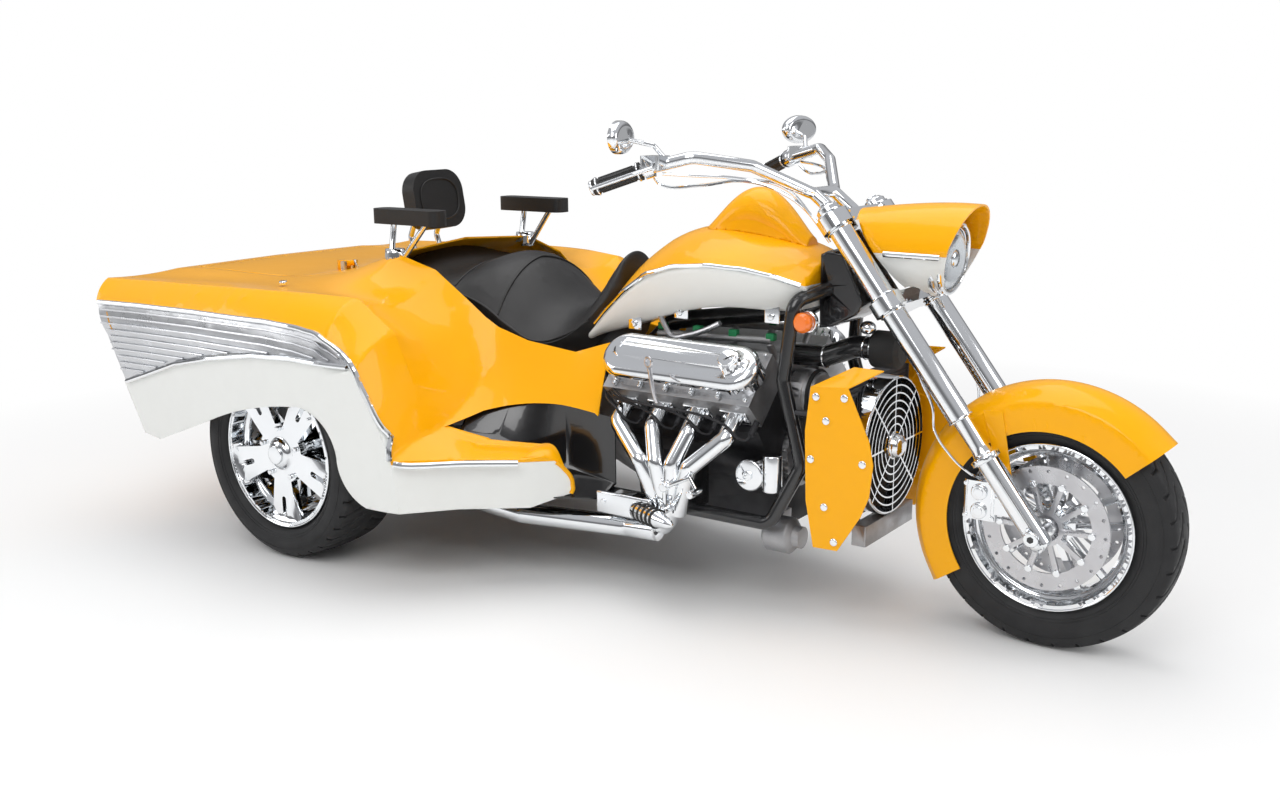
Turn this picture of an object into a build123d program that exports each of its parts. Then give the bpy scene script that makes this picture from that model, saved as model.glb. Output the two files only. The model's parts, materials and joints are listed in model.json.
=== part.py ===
"""A three-wheeled motor cycle with a V8 engine: one steered front wheel, a long raked fork and a
wide moulded rear body between two rear wheels.  Millimetres, +X forward, +Y to the left, +Z up,
with the origin on the floor under the middle of the vehicle."""
from math import cos, hypot, radians, sin
import os

from build123d import *

os.makedirs("parts", exist_ok=True)

# Driving dimensions
wheelbase = 2150.0
tail_overhang = 765.0
front_tyre_radius = 318.0
front_tyre_width = 144.0
front_bead_radius = 207.0
rear_tyre_radius = 325.0
rear_tyre_width = 245.0
rear_bead_radius = 219.0
rear_track = 1150.0
tyre_wall = 14.0
rim_wall = 6.0
rim_lip = 9.0
rim_drop = 22.0
bead_share = 0.74
axle_radius = 12.5
half_shaft_radius = 20.0
running_gap = 0.05
moving_gap = 6.0
seat_gap = 0.3
rake = 37.4
fork_half_spread = 136.0
fork_offset = 50.0
fork_tube_radius = 31.0
fork_slider_radius = 23.0
fork_leg_radius = 29.0
stem_radius = 15.0
neck_radius = 33.0
body_wall = 6.0
lamp_seat = 28.0
frame_tube_radius = 19.0
sheet = 3.0

overall_length = tail_overhang + wheelbase + front_tyre_radius
rear_axle_x = tail_overhang - overall_length / 2
front_axle_x = rear_axle_x + wheelbase
rear_wheel_y = rear_track / 2


def ahead(distance):
    """X of a point that lies this far ahead of the rear axle."""
    return rear_axle_x + distance


def cross_plane(distance, y=0.0, z=0.0):
    """An upright plane across the vehicle: its own x is +Y and its own y is +Z."""
    return Plane(origin=(ahead(distance), y, z), x_dir=(0, 1, 0), z_dir=(1, 0, 0))


def side_plane(y):
    """An upright plane along the vehicle: its own x is +X and its own y is +Z."""
    return Plane(origin=(0, y, 0), x_dir=(1, 0, 0), z_dir=(0, -1, 0))


def tube(points, radius, bend=0.0, bore=0.0):
    """A round tube along straight runs joined by tangent arcs."""
    with BuildPart() as run:
        with BuildLine() as path:
            if len(points) > 2:
                FilletPolyline(*points, radius=bend)
            else:
                Line(*points)
        with BuildSketch(Plane(origin=path.line @ 0, z_dir=path.line % 0)):
            Circle(radius)
            if bore:
                Circle(bore, mode=Mode.SUBTRACT)
        sweep()
    return run.part


def block(low, high, edge=0.0):
    """A box between two corners, with rounded upright edges."""
    size = [abs(high[i] - low[i]) for i in range(3)]
    middle = [(high[i] + low[i]) / 2 for i in range(3)]
    with BuildPart() as made:
        with Locations(tuple(middle)):
            Box(*size)
        if edge:
            fillet(made.edges().filter_by(Axis.Z), radius=edge)
    return made.part


def rod(start, end, radius, bore=0.0):
    """A straight round bar from one point to another."""
    return tube([start, end], radius, bore=bore)


def turned(origin, direction, profile):
    """A turned piece: profile lists (distance along the axis, radius) from end to end."""
    along = Vector(*direction).normalized()
    side = Vector(0, 1, 0) if abs(along.Y) < 0.9 else Vector(1, 0, 0)
    across = (side - along * side.dot(along)).normalized()
    plane = Plane(origin=origin, x_dir=along, z_dir=along.cross(across))
    with BuildPart() as made:
        with BuildSketch(plane):
            with BuildLine():
                Polyline((profile[0][0], 0), *profile, (profile[-1][0], 0), close=True)
            make_face()
        revolve(axis=Axis(origin, tuple(along)))
    return made.part


def pair(piece):
    """A piece and its mirror image on the other side of the vehicle."""
    return piece + mirror(piece, about=Plane.XZ)


def largest(piece):
    """The biggest solid that a cut leaves."""
    return piece.solids().sort_by(SortBy.VOLUME)[-1]


pieces = {}


def keep(name, made):
    """Note a finished piece under its node name."""
    pieces[name] = made


# Wheels
def tyre(axle_x, centre_y, radius, width, bead_radius):
    """A tyre's ring: beads inside the rim's lips, bulged walls and a crowned tread."""
    half = width / 2
    tread_half = half * 0.80
    bead_half = half * bead_share
    lip_top = bead_radius + rim_lip + 3
    shoulder_radius = radius * 0.978
    bulge_radius = lip_top + (radius - lip_top) * 0.45
    with BuildPart() as made:
        with BuildSketch(Plane(origin=(axle_x, centre_y, radius), x_dir=(0, 1, 0), z_dir=(1, 0, 0))):
            with BuildLine():
                Line((-bead_half, bead_radius), (-bead_half, lip_top))
                ThreePointArc((-bead_half, lip_top), (-half, bulge_radius), (-tread_half, shoulder_radius))
                ThreePointArc((-tread_half, shoulder_radius), (0, radius), (tread_half, shoulder_radius))
                ThreePointArc((tread_half, shoulder_radius), (half, bulge_radius), (bead_half, lip_top))
                Line((bead_half, lip_top), (bead_half, bead_radius))
                Line((bead_half, bead_radius), (bead_half - tyre_wall, bead_radius))
                ThreePointArc(
                    (bead_half - tyre_wall, bead_radius),
                    (0, radius - tyre_wall * 1.3),
                    (-bead_half + tyre_wall, bead_radius),
                )
                Line((-bead_half + tyre_wall, bead_radius), (-bead_half, bead_radius))
            make_face()
        revolve(axis=Axis((axle_x, centre_y, radius), (0, 1, 0)))
    return made.part


def rim_barrel(axle_x, centre_y, axle_z, width, bead_radius):
    """The rolled rim: a lip each side, two bead seats and a dropped centre."""
    half = width / 2 * bead_share
    slope = rim_wall * 0.55
    outline = (
        (-half - rim_lip, bead_radius + rim_lip),
        (-half, bead_radius + rim_lip),
        (-half, bead_radius),
        (-half * 0.60, bead_radius),
        (-half * 0.45, bead_radius - rim_drop),
        (half * 0.45, bead_radius - rim_drop),
        (half * 0.60, bead_radius),
        (half, bead_radius),
        (half, bead_radius + rim_lip),
        (half + rim_lip, bead_radius + rim_lip),
        (half + rim_lip, bead_radius - rim_wall),
        (half * 0.60 + slope, bead_radius - rim_wall),
        (half * 0.45 + slope, bead_radius - rim_drop - rim_wall),
        (-half * 0.45 - slope, bead_radius - rim_drop - rim_wall),
        (-half * 0.60 - slope, bead_radius - rim_wall),
        (-half - rim_lip, bead_radius - rim_wall),
    )
    with BuildPart() as made:
        with BuildSketch(Plane(origin=(axle_x, centre_y, axle_z), x_dir=(0, 1, 0), z_dir=(1, 0, 0))):
            with BuildLine():
                Polyline(*outline, close=True)
            make_face()
        revolve(axis=Axis((axle_x, centre_y, axle_z), (0, 1, 0)))
    return made.part


def twin_spokes(axle_x, face_y, axle_z, outer_radius, hub_radius, depth, foot, tip, first_angle):
    """Five pairs of cast spokes round a hub disc, drawn on the wheel's outer face."""
    with BuildPart() as made:
        with BuildSketch(Plane(origin=(axle_x, face_y, axle_z), x_dir=(1, 0, 0), z_dir=(0, -1, 0))):
            Circle(hub_radius)
            with PolarLocations(0, 5, start_angle=first_angle):
                for side in (-1, 1):
                    Polygon(
                        (hub_radius * 0.7, side * (foot * 0.45)),
                        (hub_radius * 0.7, side * (foot * 1.6)),
                        (outer_radius, side * (tip + foot * 1.3)),
                        (outer_radius, side * (tip + foot * 0.2)),
                        align=None,
                    )
            Circle(outer_radius, mode=Mode.INTERSECT)
        extrude(amount=-depth)
    return made.part


def lobed_spokes(face_y, rim_radius, depth):
    """Five broad cast spokes of a rear wheel, each with a slot near the rim."""
    with BuildPart() as made:
        with BuildSketch(Plane(origin=(rear_axle_x, face_y, rear_axle_z), x_dir=(1, 0, 0), z_dir=(0, -1, 0))):
            Circle(lobe_hub_radius)
            with PolarLocations(0, 5, start_angle=lobe_first_angle):
                Polygon(
                    (lobe_hub_radius * 0.6, -lobe_foot),
                    (lobe_hub_radius * 0.6, lobe_foot),
                    (rim_radius, lobe_tip),
                    (rim_radius, -lobe_tip),
                    align=None,
                )
            with PolarLocations(lobe_slot_radius, 5, start_angle=lobe_first_angle):
                SlotOverall(lobe_slot_length, lobe_slot_width, mode=Mode.SUBTRACT)
            Circle(rim_radius, mode=Mode.INTERSECT)
        extrude(amount=-depth)
    return made.part


lobe_hub_radius = 92.0
lobe_foot = 34.0
lobe_tip = 58.0
lobe_first_angle = 54.0
lobe_slot_radius = 165.0
lobe_slot_length = 58.0
lobe_slot_width = 17.0
rear_axle_z = rear_tyre_radius
front_axle_z = front_tyre_radius
hub_bore = axle_radius + running_gap
keep("front_tyre", tyre(front_axle_x, 0, front_tyre_radius, front_tyre_width, front_bead_radius))
front_hub_half = 62.0
front_spoke_depth = 18.0
front_barrel = rim_barrel(front_axle_x, 0, front_axle_z, front_tyre_width, front_bead_radius)
front_spoke_reach = front_bead_radius - rim_drop - rim_wall + 2
front_spokes = twin_spokes(
    front_axle_x, -front_spoke_depth / 2, front_axle_z, front_spoke_reach, 58, front_spoke_depth, 15, 26, 90
)
with BuildPart() as front_rim:
    add(front_barrel)
    add(front_spokes)
    with Locations(Location((front_axle_x, 0, front_axle_z), (90, 0, 0))):
        Cylinder(34, front_hub_half * 2)
        Cylinder(hub_bore, front_hub_half * 3, mode=Mode.SUBTRACT)
keep("front_rim", front_rim.part)

disc_radius = 160.0
disc_thickness = 6.0
disc_y = front_hub_half - disc_thickness / 2 + 6
with BuildPart() as front_disc:
    with BuildSketch(side_plane(-disc_y)):
        with Locations((front_axle_x, front_axle_z)):
            Circle(disc_radius)
            Circle(disc_radius - 44, mode=Mode.SUBTRACT)
            with PolarLocations(disc_radius - 12, 20):
                Circle(4.5, mode=Mode.SUBTRACT)
    extrude(amount=disc_thickness / 2, both=True)
    with BuildSketch(side_plane(-disc_y)):
        with Locations((front_axle_x, front_axle_z)):
            Circle(46)
            Circle(35, mode=Mode.SUBTRACT)
            with PolarLocations(80, 10):
                Rectangle(78, 13)
            Circle(34 + running_gap, mode=Mode.SUBTRACT)
    extrude(amount=disc_thickness / 2 + 1, both=True)
keep("front_brake_discs", pair(front_disc.part))

for side, side_name in ((-1, "right"), (1, "left")):
    wheel_y = side * rear_wheel_y
    rim_half = rear_tyre_width / 2 * bead_share
    face_y = rear_wheel_y + rim_half - 4
    rear_tyre = tyre(ahead(0), wheel_y, rear_tyre_radius, rear_tyre_width, rear_bead_radius)
    keep(f"rear_tyre_{side_name}", rear_tyre)
    barrel = rim_barrel(ahead(0), -rear_wheel_y, rear_axle_z, rear_tyre_width, rear_bead_radius)
    spokes = lobed_spokes(-face_y, rear_bead_radius - rim_wall + 2, 24)
    cap = turned(
        (ahead(0), -face_y + 30, rear_axle_z),
        (0, -1, 0),
        ((0, 66), (22, 66), (34, 46), (44, 40), (52, 18)),
    )
    shaft_hole = rod(
        (ahead(0), -face_y + 90, rear_axle_z),
        (ahead(0), -face_y + 6, rear_axle_z),
        half_shaft_radius + running_gap,
    )
    brake = turned(
        (ahead(0), -face_y + 70, rear_axle_z),
        (0, -1, 0),
        ((0, 150), (8, 150), (8, 66), (50, 66)),
    )
    wheel = barrel + spokes + cap + brake - shaft_hole
    keep(f"rear_rim_{side_name}", wheel if side < 0 else mirror(wheel, about=Plane.XZ))

# Fork and steering
rake_sin = sin(radians(rake))
rake_cos = cos(radians(rake))
leg_up = Vector(-rake_sin, 0, rake_cos)
leg_forward = Vector(rake_cos, 0, rake_sin)
axle_point = Vector(front_axle_x, 0, front_axle_z)


def on_fork(along, forward=0.0, y=0.0):
    """A point this far up the fork from the axle, and this far ahead of the legs."""
    return axle_point + leg_up * along + leg_forward * forward + Vector(0, y, 0)


def fork_plane(along, forward=0.0):
    """A plane square to the fork: its own x is forward and its own y is to the left."""
    return Plane(origin=on_fork(along, forward), x_dir=leg_forward, z_dir=leg_up)


leg_bottom = -34.0
flange_height = 224.0
cover_bottom = 335.0
lower_clamp_height = 676.0
upper_clamp_height = 930.0
clamp_thickness = 38.0
fork_top = upper_clamp_height + 38
leg_profile = (
    (leg_bottom, fork_leg_radius - 7),
    (leg_bottom + 10, fork_leg_radius),
    (flange_height - 12, fork_leg_radius),
    (flange_height - 8, fork_leg_radius + 10),
    (flange_height + 4, fork_leg_radius + 10),
    (flange_height + 8, fork_slider_radius + 4),
    (flange_height + 30, fork_slider_radius),
    (cover_bottom, fork_slider_radius),
    (cover_bottom, fork_tube_radius),
    (fork_top, fork_tube_radius),
    (fork_top + 8, fork_tube_radius - 8),
)
fork_leg = turned(tuple(on_fork(0, 0, -fork_half_spread)), tuple(leg_up), leg_profile)
fork_leg -= rod((front_axle_x, -200, front_axle_z), (front_axle_x, -90, front_axle_z), axle_radius)
fork_legs = pair(fork_leg)
keep("fork_legs", fork_legs)

axle_end = fork_half_spread + fork_leg_radius + 4
front_axle = rod((front_axle_x, -axle_end, front_axle_z), (front_axle_x, axle_end, front_axle_z), axle_radius)
keep("front_axle", front_axle)


def clamp(height, thickness, front_reach):
    """A fork clamp: an arm to each leg and a boss for the steering stem behind them."""
    with BuildPart() as made:
        with BuildSketch(fork_plane(height)) as outline:
            with Locations((0, fork_half_spread), (0, -fork_half_spread)):
                Circle(fork_tube_radius + 13)
            with BuildLine():
                Polyline(
                    (front_reach, fork_half_spread),
                    (front_reach, -fork_half_spread),
                    (-18, -fork_half_spread - 14),
                    (-fork_offset - 22, -34),
                    (-fork_offset - 22, 34),
                    (-18, fork_half_spread + 14),
                    close=True,
                )
            make_face()
            with Locations((-fork_offset, 0)):
                Circle(stem_radius + 22)
            with Locations((0, fork_half_spread), (0, -fork_half_spread)):
                Circle(fork_tube_radius, mode=Mode.SUBTRACT)
        extrude(amount=thickness / 2, both=True)
    return made.part


stem = turned(
    tuple(on_fork(lower_clamp_height - clamp_thickness / 2, -fork_offset)),
    tuple(leg_up),
    ((0, stem_radius), (upper_clamp_height - lower_clamp_height + clamp_thickness + 8, stem_radius)),
)
stem_cut = turned(
    tuple(on_fork(lower_clamp_height - clamp_thickness, -fork_offset)),
    tuple(leg_up),
    ((0, stem_radius), (600, stem_radius)),
)
keep("lower_clamp", clamp(lower_clamp_height, clamp_thickness, lamp_seat) + stem)
keep("upper_clamp", clamp(upper_clamp_height, clamp_thickness, lamp_seat) - stem_cut)

neck_low = lower_clamp_height + clamp_thickness / 2 + moving_gap
neck_high = upper_clamp_height - clamp_thickness / 2 - moving_gap
neck = turned(
    tuple(on_fork(neck_low, -fork_offset)),
    tuple(leg_up),
    ((0, neck_radius), (neck_high - neck_low, neck_radius)),
)
neck_bore = turned(
    tuple(on_fork(neck_low - 50, -fork_offset)),
    tuple(leg_up),
    ((0, stem_radius + running_gap), (400, stem_radius + running_gap)),
)

# Front fender: a crowned band round the tyre with side skirts
fender_radius = 366.0
fender_half = 88.0
skirt_radius = 250.0
fender_front_angle = 41.0
fender_rear_angle = 214.0
fender_sheet = 4.0
fender_start = radians(fender_front_angle)
with BuildPart() as front_fender:
    with BuildSketch(
        Plane(
            origin=(front_axle_x, 0, front_axle_z),
            x_dir=(0, 1, 0),
            z_dir=(sin(fender_start), 0, -cos(fender_start)),
        )
    ):
        for inset, way in ((0.0, Mode.ADD), (fender_sheet, Mode.SUBTRACT)):
            half = fender_half - inset
            shoulder = fender_radius - 46 - inset
            with BuildLine():
                Line((-half, skirt_radius - inset), (-half, shoulder))
                ThreePointArc((-half, shoulder), (0, fender_radius - inset), (half, shoulder))
                Line((half, shoulder), (half, skirt_radius - inset))
                Line((half, skirt_radius - inset), (-half, skirt_radius - inset))
            make_face(mode=way)
    revolve(
        axis=Axis((front_axle_x, 0, front_axle_z), (0, -1, 0)),
        revolution_arc=fender_rear_angle - fender_front_angle,
    )
    with BuildSketch(side_plane(-200)):
        with Locations((front_axle_x, front_axle_z)):
            with BuildLine():
                Polyline((200, 236), (180, 200), (420, 120), (420, 190), (290, 232), close=True)
            make_face()
    extrude(amount=-400, mode=Mode.SUBTRACT)
stay_foot = on_fork(165, 0, 0)
with BuildPart() as fender_stay:
    with BuildSketch(side_plane(-fender_half)):
        Polygon(
            (front_axle_x - 165, front_axle_z + 285),
            (front_axle_x - 115, front_axle_z + 290),
            (stay_foot.X + 16, stay_foot.Z - 4),
            (stay_foot.X - 16, stay_foot.Z - 12),
            align=None,
        )
    extrude(amount=4)
    with BuildSketch(side_plane(-fender_half)):
        with Locations((stay_foot.X, stay_foot.Z)):
            Circle(11)
    extrude(amount=30)
keep("front_fender", front_fender.part + (pair(fender_stay.part) - fork_legs))

# Handlebar, mirrors and headlamp, all on the steering
bar_radius = 16.0
grip_radius = 19.0
bar_centre = on_fork(upper_clamp_height + 114, -45)
bar_bends = (
    # ahead of the bar's centre, to the left of it, above it
    (0, 0, 0),
    (0, -62, 0),
    (-95, -215, 76),
    (-195, -345, 102),
    (-300, -372, 76),
    (-440, -440, 23),
)


def off_bar(forward, left, above):
    """A point placed from the middle of the handlebar."""
    return tuple(bar_centre + Vector(forward, left, above))


bar_points = [off_bar(*bend) for bend in bar_bends]
half_bar = tube(bar_points, bar_radius, 45)
risers = pair(rod(tuple(on_fork(upper_clamp_height, -16, -55)), off_bar(0, -55, 0), 17))
keep("handlebar", pair(half_bar) + risers - pieces["upper_clamp"])


def along_bar(share):
    """A point on the straight hand stretch of the right side of the bar."""
    start = Vector(*bar_points[-2])
    end = Vector(*bar_points[-1])
    return start + (end - start) * share


hand_way = (Vector(*bar_points[-1]) - Vector(*bar_points[-2])).normalized()
grip = turned(
    tuple(along_bar(0.18)),
    tuple(hand_way),
    ((0, 24), (8, 24), (12, grip_radius), (118, grip_radius), (124, 24), (134, 20)),
)
bar_core = rod(tuple(along_bar(0.0)), tuple(along_bar(1.0)), bar_radius)
keep("hand_grips", pair(grip - bar_core))
lever_hub = along_bar(0.0)
control = turned(tuple(lever_hub - hand_way * 2), tuple(hand_way), ((0, 26), (24, 26)))
reservoir = block(
    (lever_hub.X - 12, lever_hub.Y - 42, lever_hub.Z - 4),
    (lever_hub.X + 46, lever_hub.Y + 18, lever_hub.Z + 30),
    8,
)
lever = tube(
    [
        (lever_hub.X + 34, lever_hub.Y - 30, lever_hub.Z + 4),
        (lever_hub.X - 10, lever_hub.Y - 66, lever_hub.Z - 14),
        (lever_hub.X - 120, lever_hub.Y - 96, lever_hub.Z - 52),
    ],
    6,
    30,
)
keep("hand_controls", pair(control + reservoir + lever - half_bar - bar_core - grip))

mirror_centre = off_bar(-340, -468, 153)
mirror_stem = tube([off_bar(-258, -372, 96), off_bar(-275, -400, 132), off_bar(-330, -440, 148)], 6, 15)
with BuildPart() as mirror_head:
    with BuildSketch(Plane(origin=mirror_centre, x_dir=(0.25, -0.97, 0), z_dir=(0.97, 0.25, 0))):
        Ellipse(68, 42)
    extrude(amount=24)
    fillet(mirror_head.faces().sort_by(Axis.X)[-1].edges(), radius=14)
keep("mirrors", pair(largest(mirror_head.part + mirror_stem - pieces["hand_controls"] - pieces["handlebar"])))

lamp_rows = (
    # ahead, half width, bottom, split line, top
    (1540, 88, 840, 972, 1076),
    (1700, 108, 860, 980, 1096),
    (1850, 119, 880, 990, 1106),
    (1940, 121, 960, 1010, 1103),
)


def lamp_section(row, inset):
    """Half-round top over a boat-shaped bottom, as one closed outline."""
    distance, half, bottom, split, top = row
    edge = half - inset
    keel = (0, bottom + inset)
    cheek = half * 0.72 - inset
    cheek_z = (split + bottom) / 2 - 6
    with BuildSketch(cross_plane(distance)) as made:
        with BuildLine():
            ThreePointArc((-edge, split), (0, top - inset), (edge, split))
            ThreePointArc((edge, split), (cheek, cheek_z), keel)
            ThreePointArc(keel, (-cheek, cheek_z), (-edge, split))
        make_face()
    return made.sketch


with BuildPart() as lamp_outer:
    loft([lamp_section(row, 0) for row in lamp_rows])
with BuildPart() as lamp_inner:
    loft([lamp_section(row, 5) for row in lamp_rows[1:]])
with BuildPart() as lamp_trim:
    with BuildSketch(side_plane(-200)):
        with BuildLine():
            Polyline(
                (ahead(1400), 1200),
                tuple(on_fork(1080, lamp_seat))[0::2],
                tuple(on_fork(600, lamp_seat))[0::2],
                (ahead(1400), 700),
                close=True,
            )
        make_face()
        with BuildLine():
            Polyline(
                (ahead(1936), 1140), (ahead(1840), 870), (ahead(2100), 870), (ahead(2100), 1140), close=True
            )
        make_face()
    extrude(amount=-400)
keep("headlamp_nacelle", lamp_outer.part - lamp_inner.part - lamp_trim.part)
lens_profile = ((0, 36), (80, 52), (124, 92), (146, 98), (152, 94), (160, 60))
lens = turned((ahead(1690), 0, 985), (0.99, 0, -0.12), lens_profile)
keep("headlamp", lens - pieces["headlamp_nacelle"])

# Main frame
axle_tube_radius = 38.0
rail_y = 250.0
rail_z = 256.0
rear_rail_z = 420.0
backbone_radius = 26.0
backbone = tube(
    [
        (ahead(1600), 0, 905),
        (ahead(1420), 0, 795),
        (ahead(1000), 0, 732),
        (ahead(850), 0, 590),
        (ahead(250), 0, 500),
    ],
    backbone_radius,
    60,
)
side_loop = tube(
    [
        (ahead(1590), -10, 898),
        (ahead(1500), -190, 850),
        (ahead(1480), -205, 640),
        (ahead(1545), -215, 420),
        (ahead(1470), -rail_y, rail_z),
        (ahead(330), -rail_y, rail_z),
        (ahead(120), -rail_y, rear_rail_z),
        (ahead(-480), -rail_y, rear_rail_z),
    ],
    frame_tube_radius,
    40,
)
backbone_body = neck + backbone - neck_bore
keep("frame_backbone", backbone_body)
frame = pair(side_loop)
for distance, height in ((700, rail_z), (300, rail_z + 22), (-440, rear_rail_z)):
    frame += rod((ahead(distance), -rail_y, height), (ahead(distance), rail_y, height), frame_tube_radius - 3)
frame += pair(rod((ahead(300), -rail_y + 40, rail_z + 22), (ahead(300), -40, 505), frame_tube_radius - 3))
shock_base = rear_axle_z + axle_tube_radius - 12
shock_height = 240.0
shock_x = -70.0
shock_y = 350.0
hoop_z = shock_base + shock_height + frame_tube_radius - 3
brace_radius = frame_tube_radius - 3
hoop = rod((ahead(shock_x), -shock_y - 20, hoop_z), (ahead(shock_x), shock_y + 20, hoop_z), brace_radius)
frame += hoop + pair(rod((ahead(shock_x), -rail_y, rear_rail_z), (ahead(shock_x), -rail_y, hoop_z), brace_radius))
crank_z = 415.0
mount_pad = block((ahead(1150), -rail_y - 4, rail_z), (ahead(1230), -175, crank_z - 35))
gearbox_pad = block((ahead(682), -40, rail_z), (ahead(718), 40, crank_z - 90))
keep("frame_loops", frame + pair(mount_pad) + gearbox_pad - backbone_body - neck_bore)

# Rear axle, shocks
axle_half = 430.0
housing = turned(
    (ahead(0), -axle_half, rear_axle_z),
    (0, 1, 0),
    ((0, 60), (14, 60), (14, axle_tube_radius), (axle_half - 110, axle_tube_radius), (axle_half - 70, 96),
     (axle_half + 70, 96), (axle_half + 110, axle_tube_radius), (2 * axle_half - 14, axle_tube_radius),
     (2 * axle_half - 14, 60), (2 * axle_half, 60)),
)
shaft_end = rear_wheel_y + rear_tyre_width / 2 * bead_share - 12
half_shaft = rod((ahead(0), -shaft_end, rear_axle_z), (ahead(0), -axle_half, rear_axle_z), half_shaft_radius)
trailing_arm = rod((ahead(0), -310, rear_axle_z - 10), (ahead(290), -rail_y + 6, rail_z + 12), 13)
keep("rear_axle", housing + pair(half_shaft) + (pair(trailing_arm) - pieces["frame_loops"]))
shock = turned(
    (ahead(shock_x), -shock_y, shock_base),
    (0, 0.0, 1),
    ((0, 22), (30, 22), (30, 40), (190, 40), (190, 24), (shock_height, 24)),
)
shock_seat = block((ahead(shock_x - 25), -shock_y - 25, shock_base - 20), (ahead(0), -shock_y + 25, shock_base))
keep("rear_shocks", pair((shock + shock_seat) - housing) - pieces["frame_loops"])

# Engine
engine_rear = 935.0
engine_front = 1432.0
bank = 45.0
deck_height = 218.5
deck_mid = deck_height * sin(radians(bank))
block_outline = (
    # half width, height above the crank
    (105, -225),
    (125, -110),
    (175, -60),
    (175, 10),
    (deck_mid + 72.5, deck_mid - 72.5),
    (deck_mid - 55.5, deck_mid + 55.5),
    (60, deck_mid + 55.5),
)
with BuildPart() as engine_block:
    with BuildSketch(cross_plane(engine_rear + 15, 0, crank_z)):
        with BuildLine():
            right = [(-y, z) for y, z in block_outline]
            Polyline(*block_outline, *reversed(right), close=True)
        make_face()
    extrude(amount=engine_front - engine_rear - 30)
starter = turned((ahead(1000), -172, 352), (1, 0, 0), ((0, 26), (6, 38), (104, 38), (112, 28), (150, 28)))
keep("engine_block", engine_block.part + starter)


def bank_plane(side, distance, lift):
    """The face of one cylinder bank, square to its bores: its own x is +X."""
    lean = radians(bank)
    normal = Vector(0, side * sin(lean), cos(lean))
    origin = Vector(ahead(distance), 0, crank_z) + normal * lift
    return Plane(origin=tuple(origin), x_dir=(1, 0, 0), z_dir=tuple(normal))


engine_mid = (engine_rear + engine_front) / 2
engine_length = engine_front - engine_rear
head_base = deck_height
head_top = 316.0
cover_top = 380.0
with BuildPart() as head:
    with BuildSketch(bank_plane(-1, engine_mid, head_base)):
        Rectangle(engine_length - 20, 172)
    extrude(amount=head_top - head_base)
keep("cylinder_heads", pair(head.part))
with BuildPart() as valve_cover:
    with BuildSketch(bank_plane(-1, engine_mid, head_top)):
        SlotOverall(engine_length, 142)
    extrude(amount=cover_top - head_top)
    fillet(valve_cover.faces().sort_by(Axis((0, 0, 0), (0, -1, 1)))[-1].edges(), radius=22)
    with BuildSketch(bank_plane(-1, engine_mid, cover_top)):
        SlotOverall(engine_length - 90, 40)
    extrude(amount=9)
    with BuildSketch(bank_plane(-1, engine_front - 75, cover_top)):
        Circle(30)
    extrude(amount=24)
keep("valve_covers", pair(valve_cover.part))

valley_z = crank_z + deck_mid + 55.5
with BuildPart() as intake:
    with BuildSketch(cross_plane(engine_rear + 80)):
        with BuildLine():
            Polyline((-92, valley_z), (92, valley_z), (78, 690), (-78, 690), close=True)
        make_face()
    extrude(amount=engine_length - 110)
rail = pair(rod((ahead(engine_rear + 85), -112, 712), (ahead(engine_front - 40), -112, 726), 11))
injectors = [
    rod((ahead(engine_rear + 95 + 118 * i), -80, 672), (ahead(engine_rear + 95 + 118 * i), -112, 715), 10)
    for i in range(4)
]
intake_part = intake.part + rail
for one in injectors:
    intake_part += pair(one)
keep("intake_manifold", intake_part)

header_gap = 118.0
header_first = engine_rear + 70
pipe_radius = 24.0
merge_x = 1195.0
headers = turned((ahead(merge_x + 5), -318, 290), (-0.45, 0.1, -0.88), ((0, 36), (60, 40), (90, 34)))
for i in range(4):
    x = header_first + header_gap * i
    pull = merge_x - x
    start = bank_plane(-1, x, head_base + 40).origin + Vector(0, -60.8, -60.8)
    headers += tube(
        [
            tuple(start),
            tuple(start + Vector(0, -52, -52)),
            (ahead(x + pull * 0.55), -338, 400),
            (ahead(merge_x - pull * 0.16), -318, 262),
        ],
        pipe_radius,
        24,
    )
headers -= head.part
keep("exhaust_headers", pair(headers))


# Drive line
bell = turned(
    (ahead(engine_rear), 0, crank_z),
    (-1, 0, 0),
    ((-15, 165), (20, 165), (150, 120), (160, 112), (420, 92), (430, 60), (470, 60)),
)
prop_shaft = rod((ahead(engine_rear - 465), 0, crank_z), (ahead(97), 0, rear_axle_z), 34)
keep("transmission", bell + prop_shaft - housing - pieces["frame_loops"])

# Accessory drive at the front of the engine
drive_x = engine_front - 15
crank_pulley = ((0, 96), (18, 96), (30, 60), (40, 82), (78, 82), (82, 30), (92, 30))
water_pulley = ((0, 70), (38, 70), (44, 64), (70, 64), (74, 26), (86, 26))
alternator_body = ((0, 36), (12, 50), (74, 50), (86, 38), (90, 30), (108, 30))
pulleys = turned((ahead(drive_x), 0, crank_z - 20), (1, 0, 0), crank_pulley)
pulleys += turned((ahead(drive_x), 0, crank_z + 150), (1, 0, 0), water_pulley)
alternator = turned((ahead(engine_front - 12), -170, 206), (1, 0, 0), alternator_body)
alternator += block((ahead(engine_front - 15), -160, 196), (ahead(engine_front), -60, 246))
keep("accessory_drive", pulleys + alternator)

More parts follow.
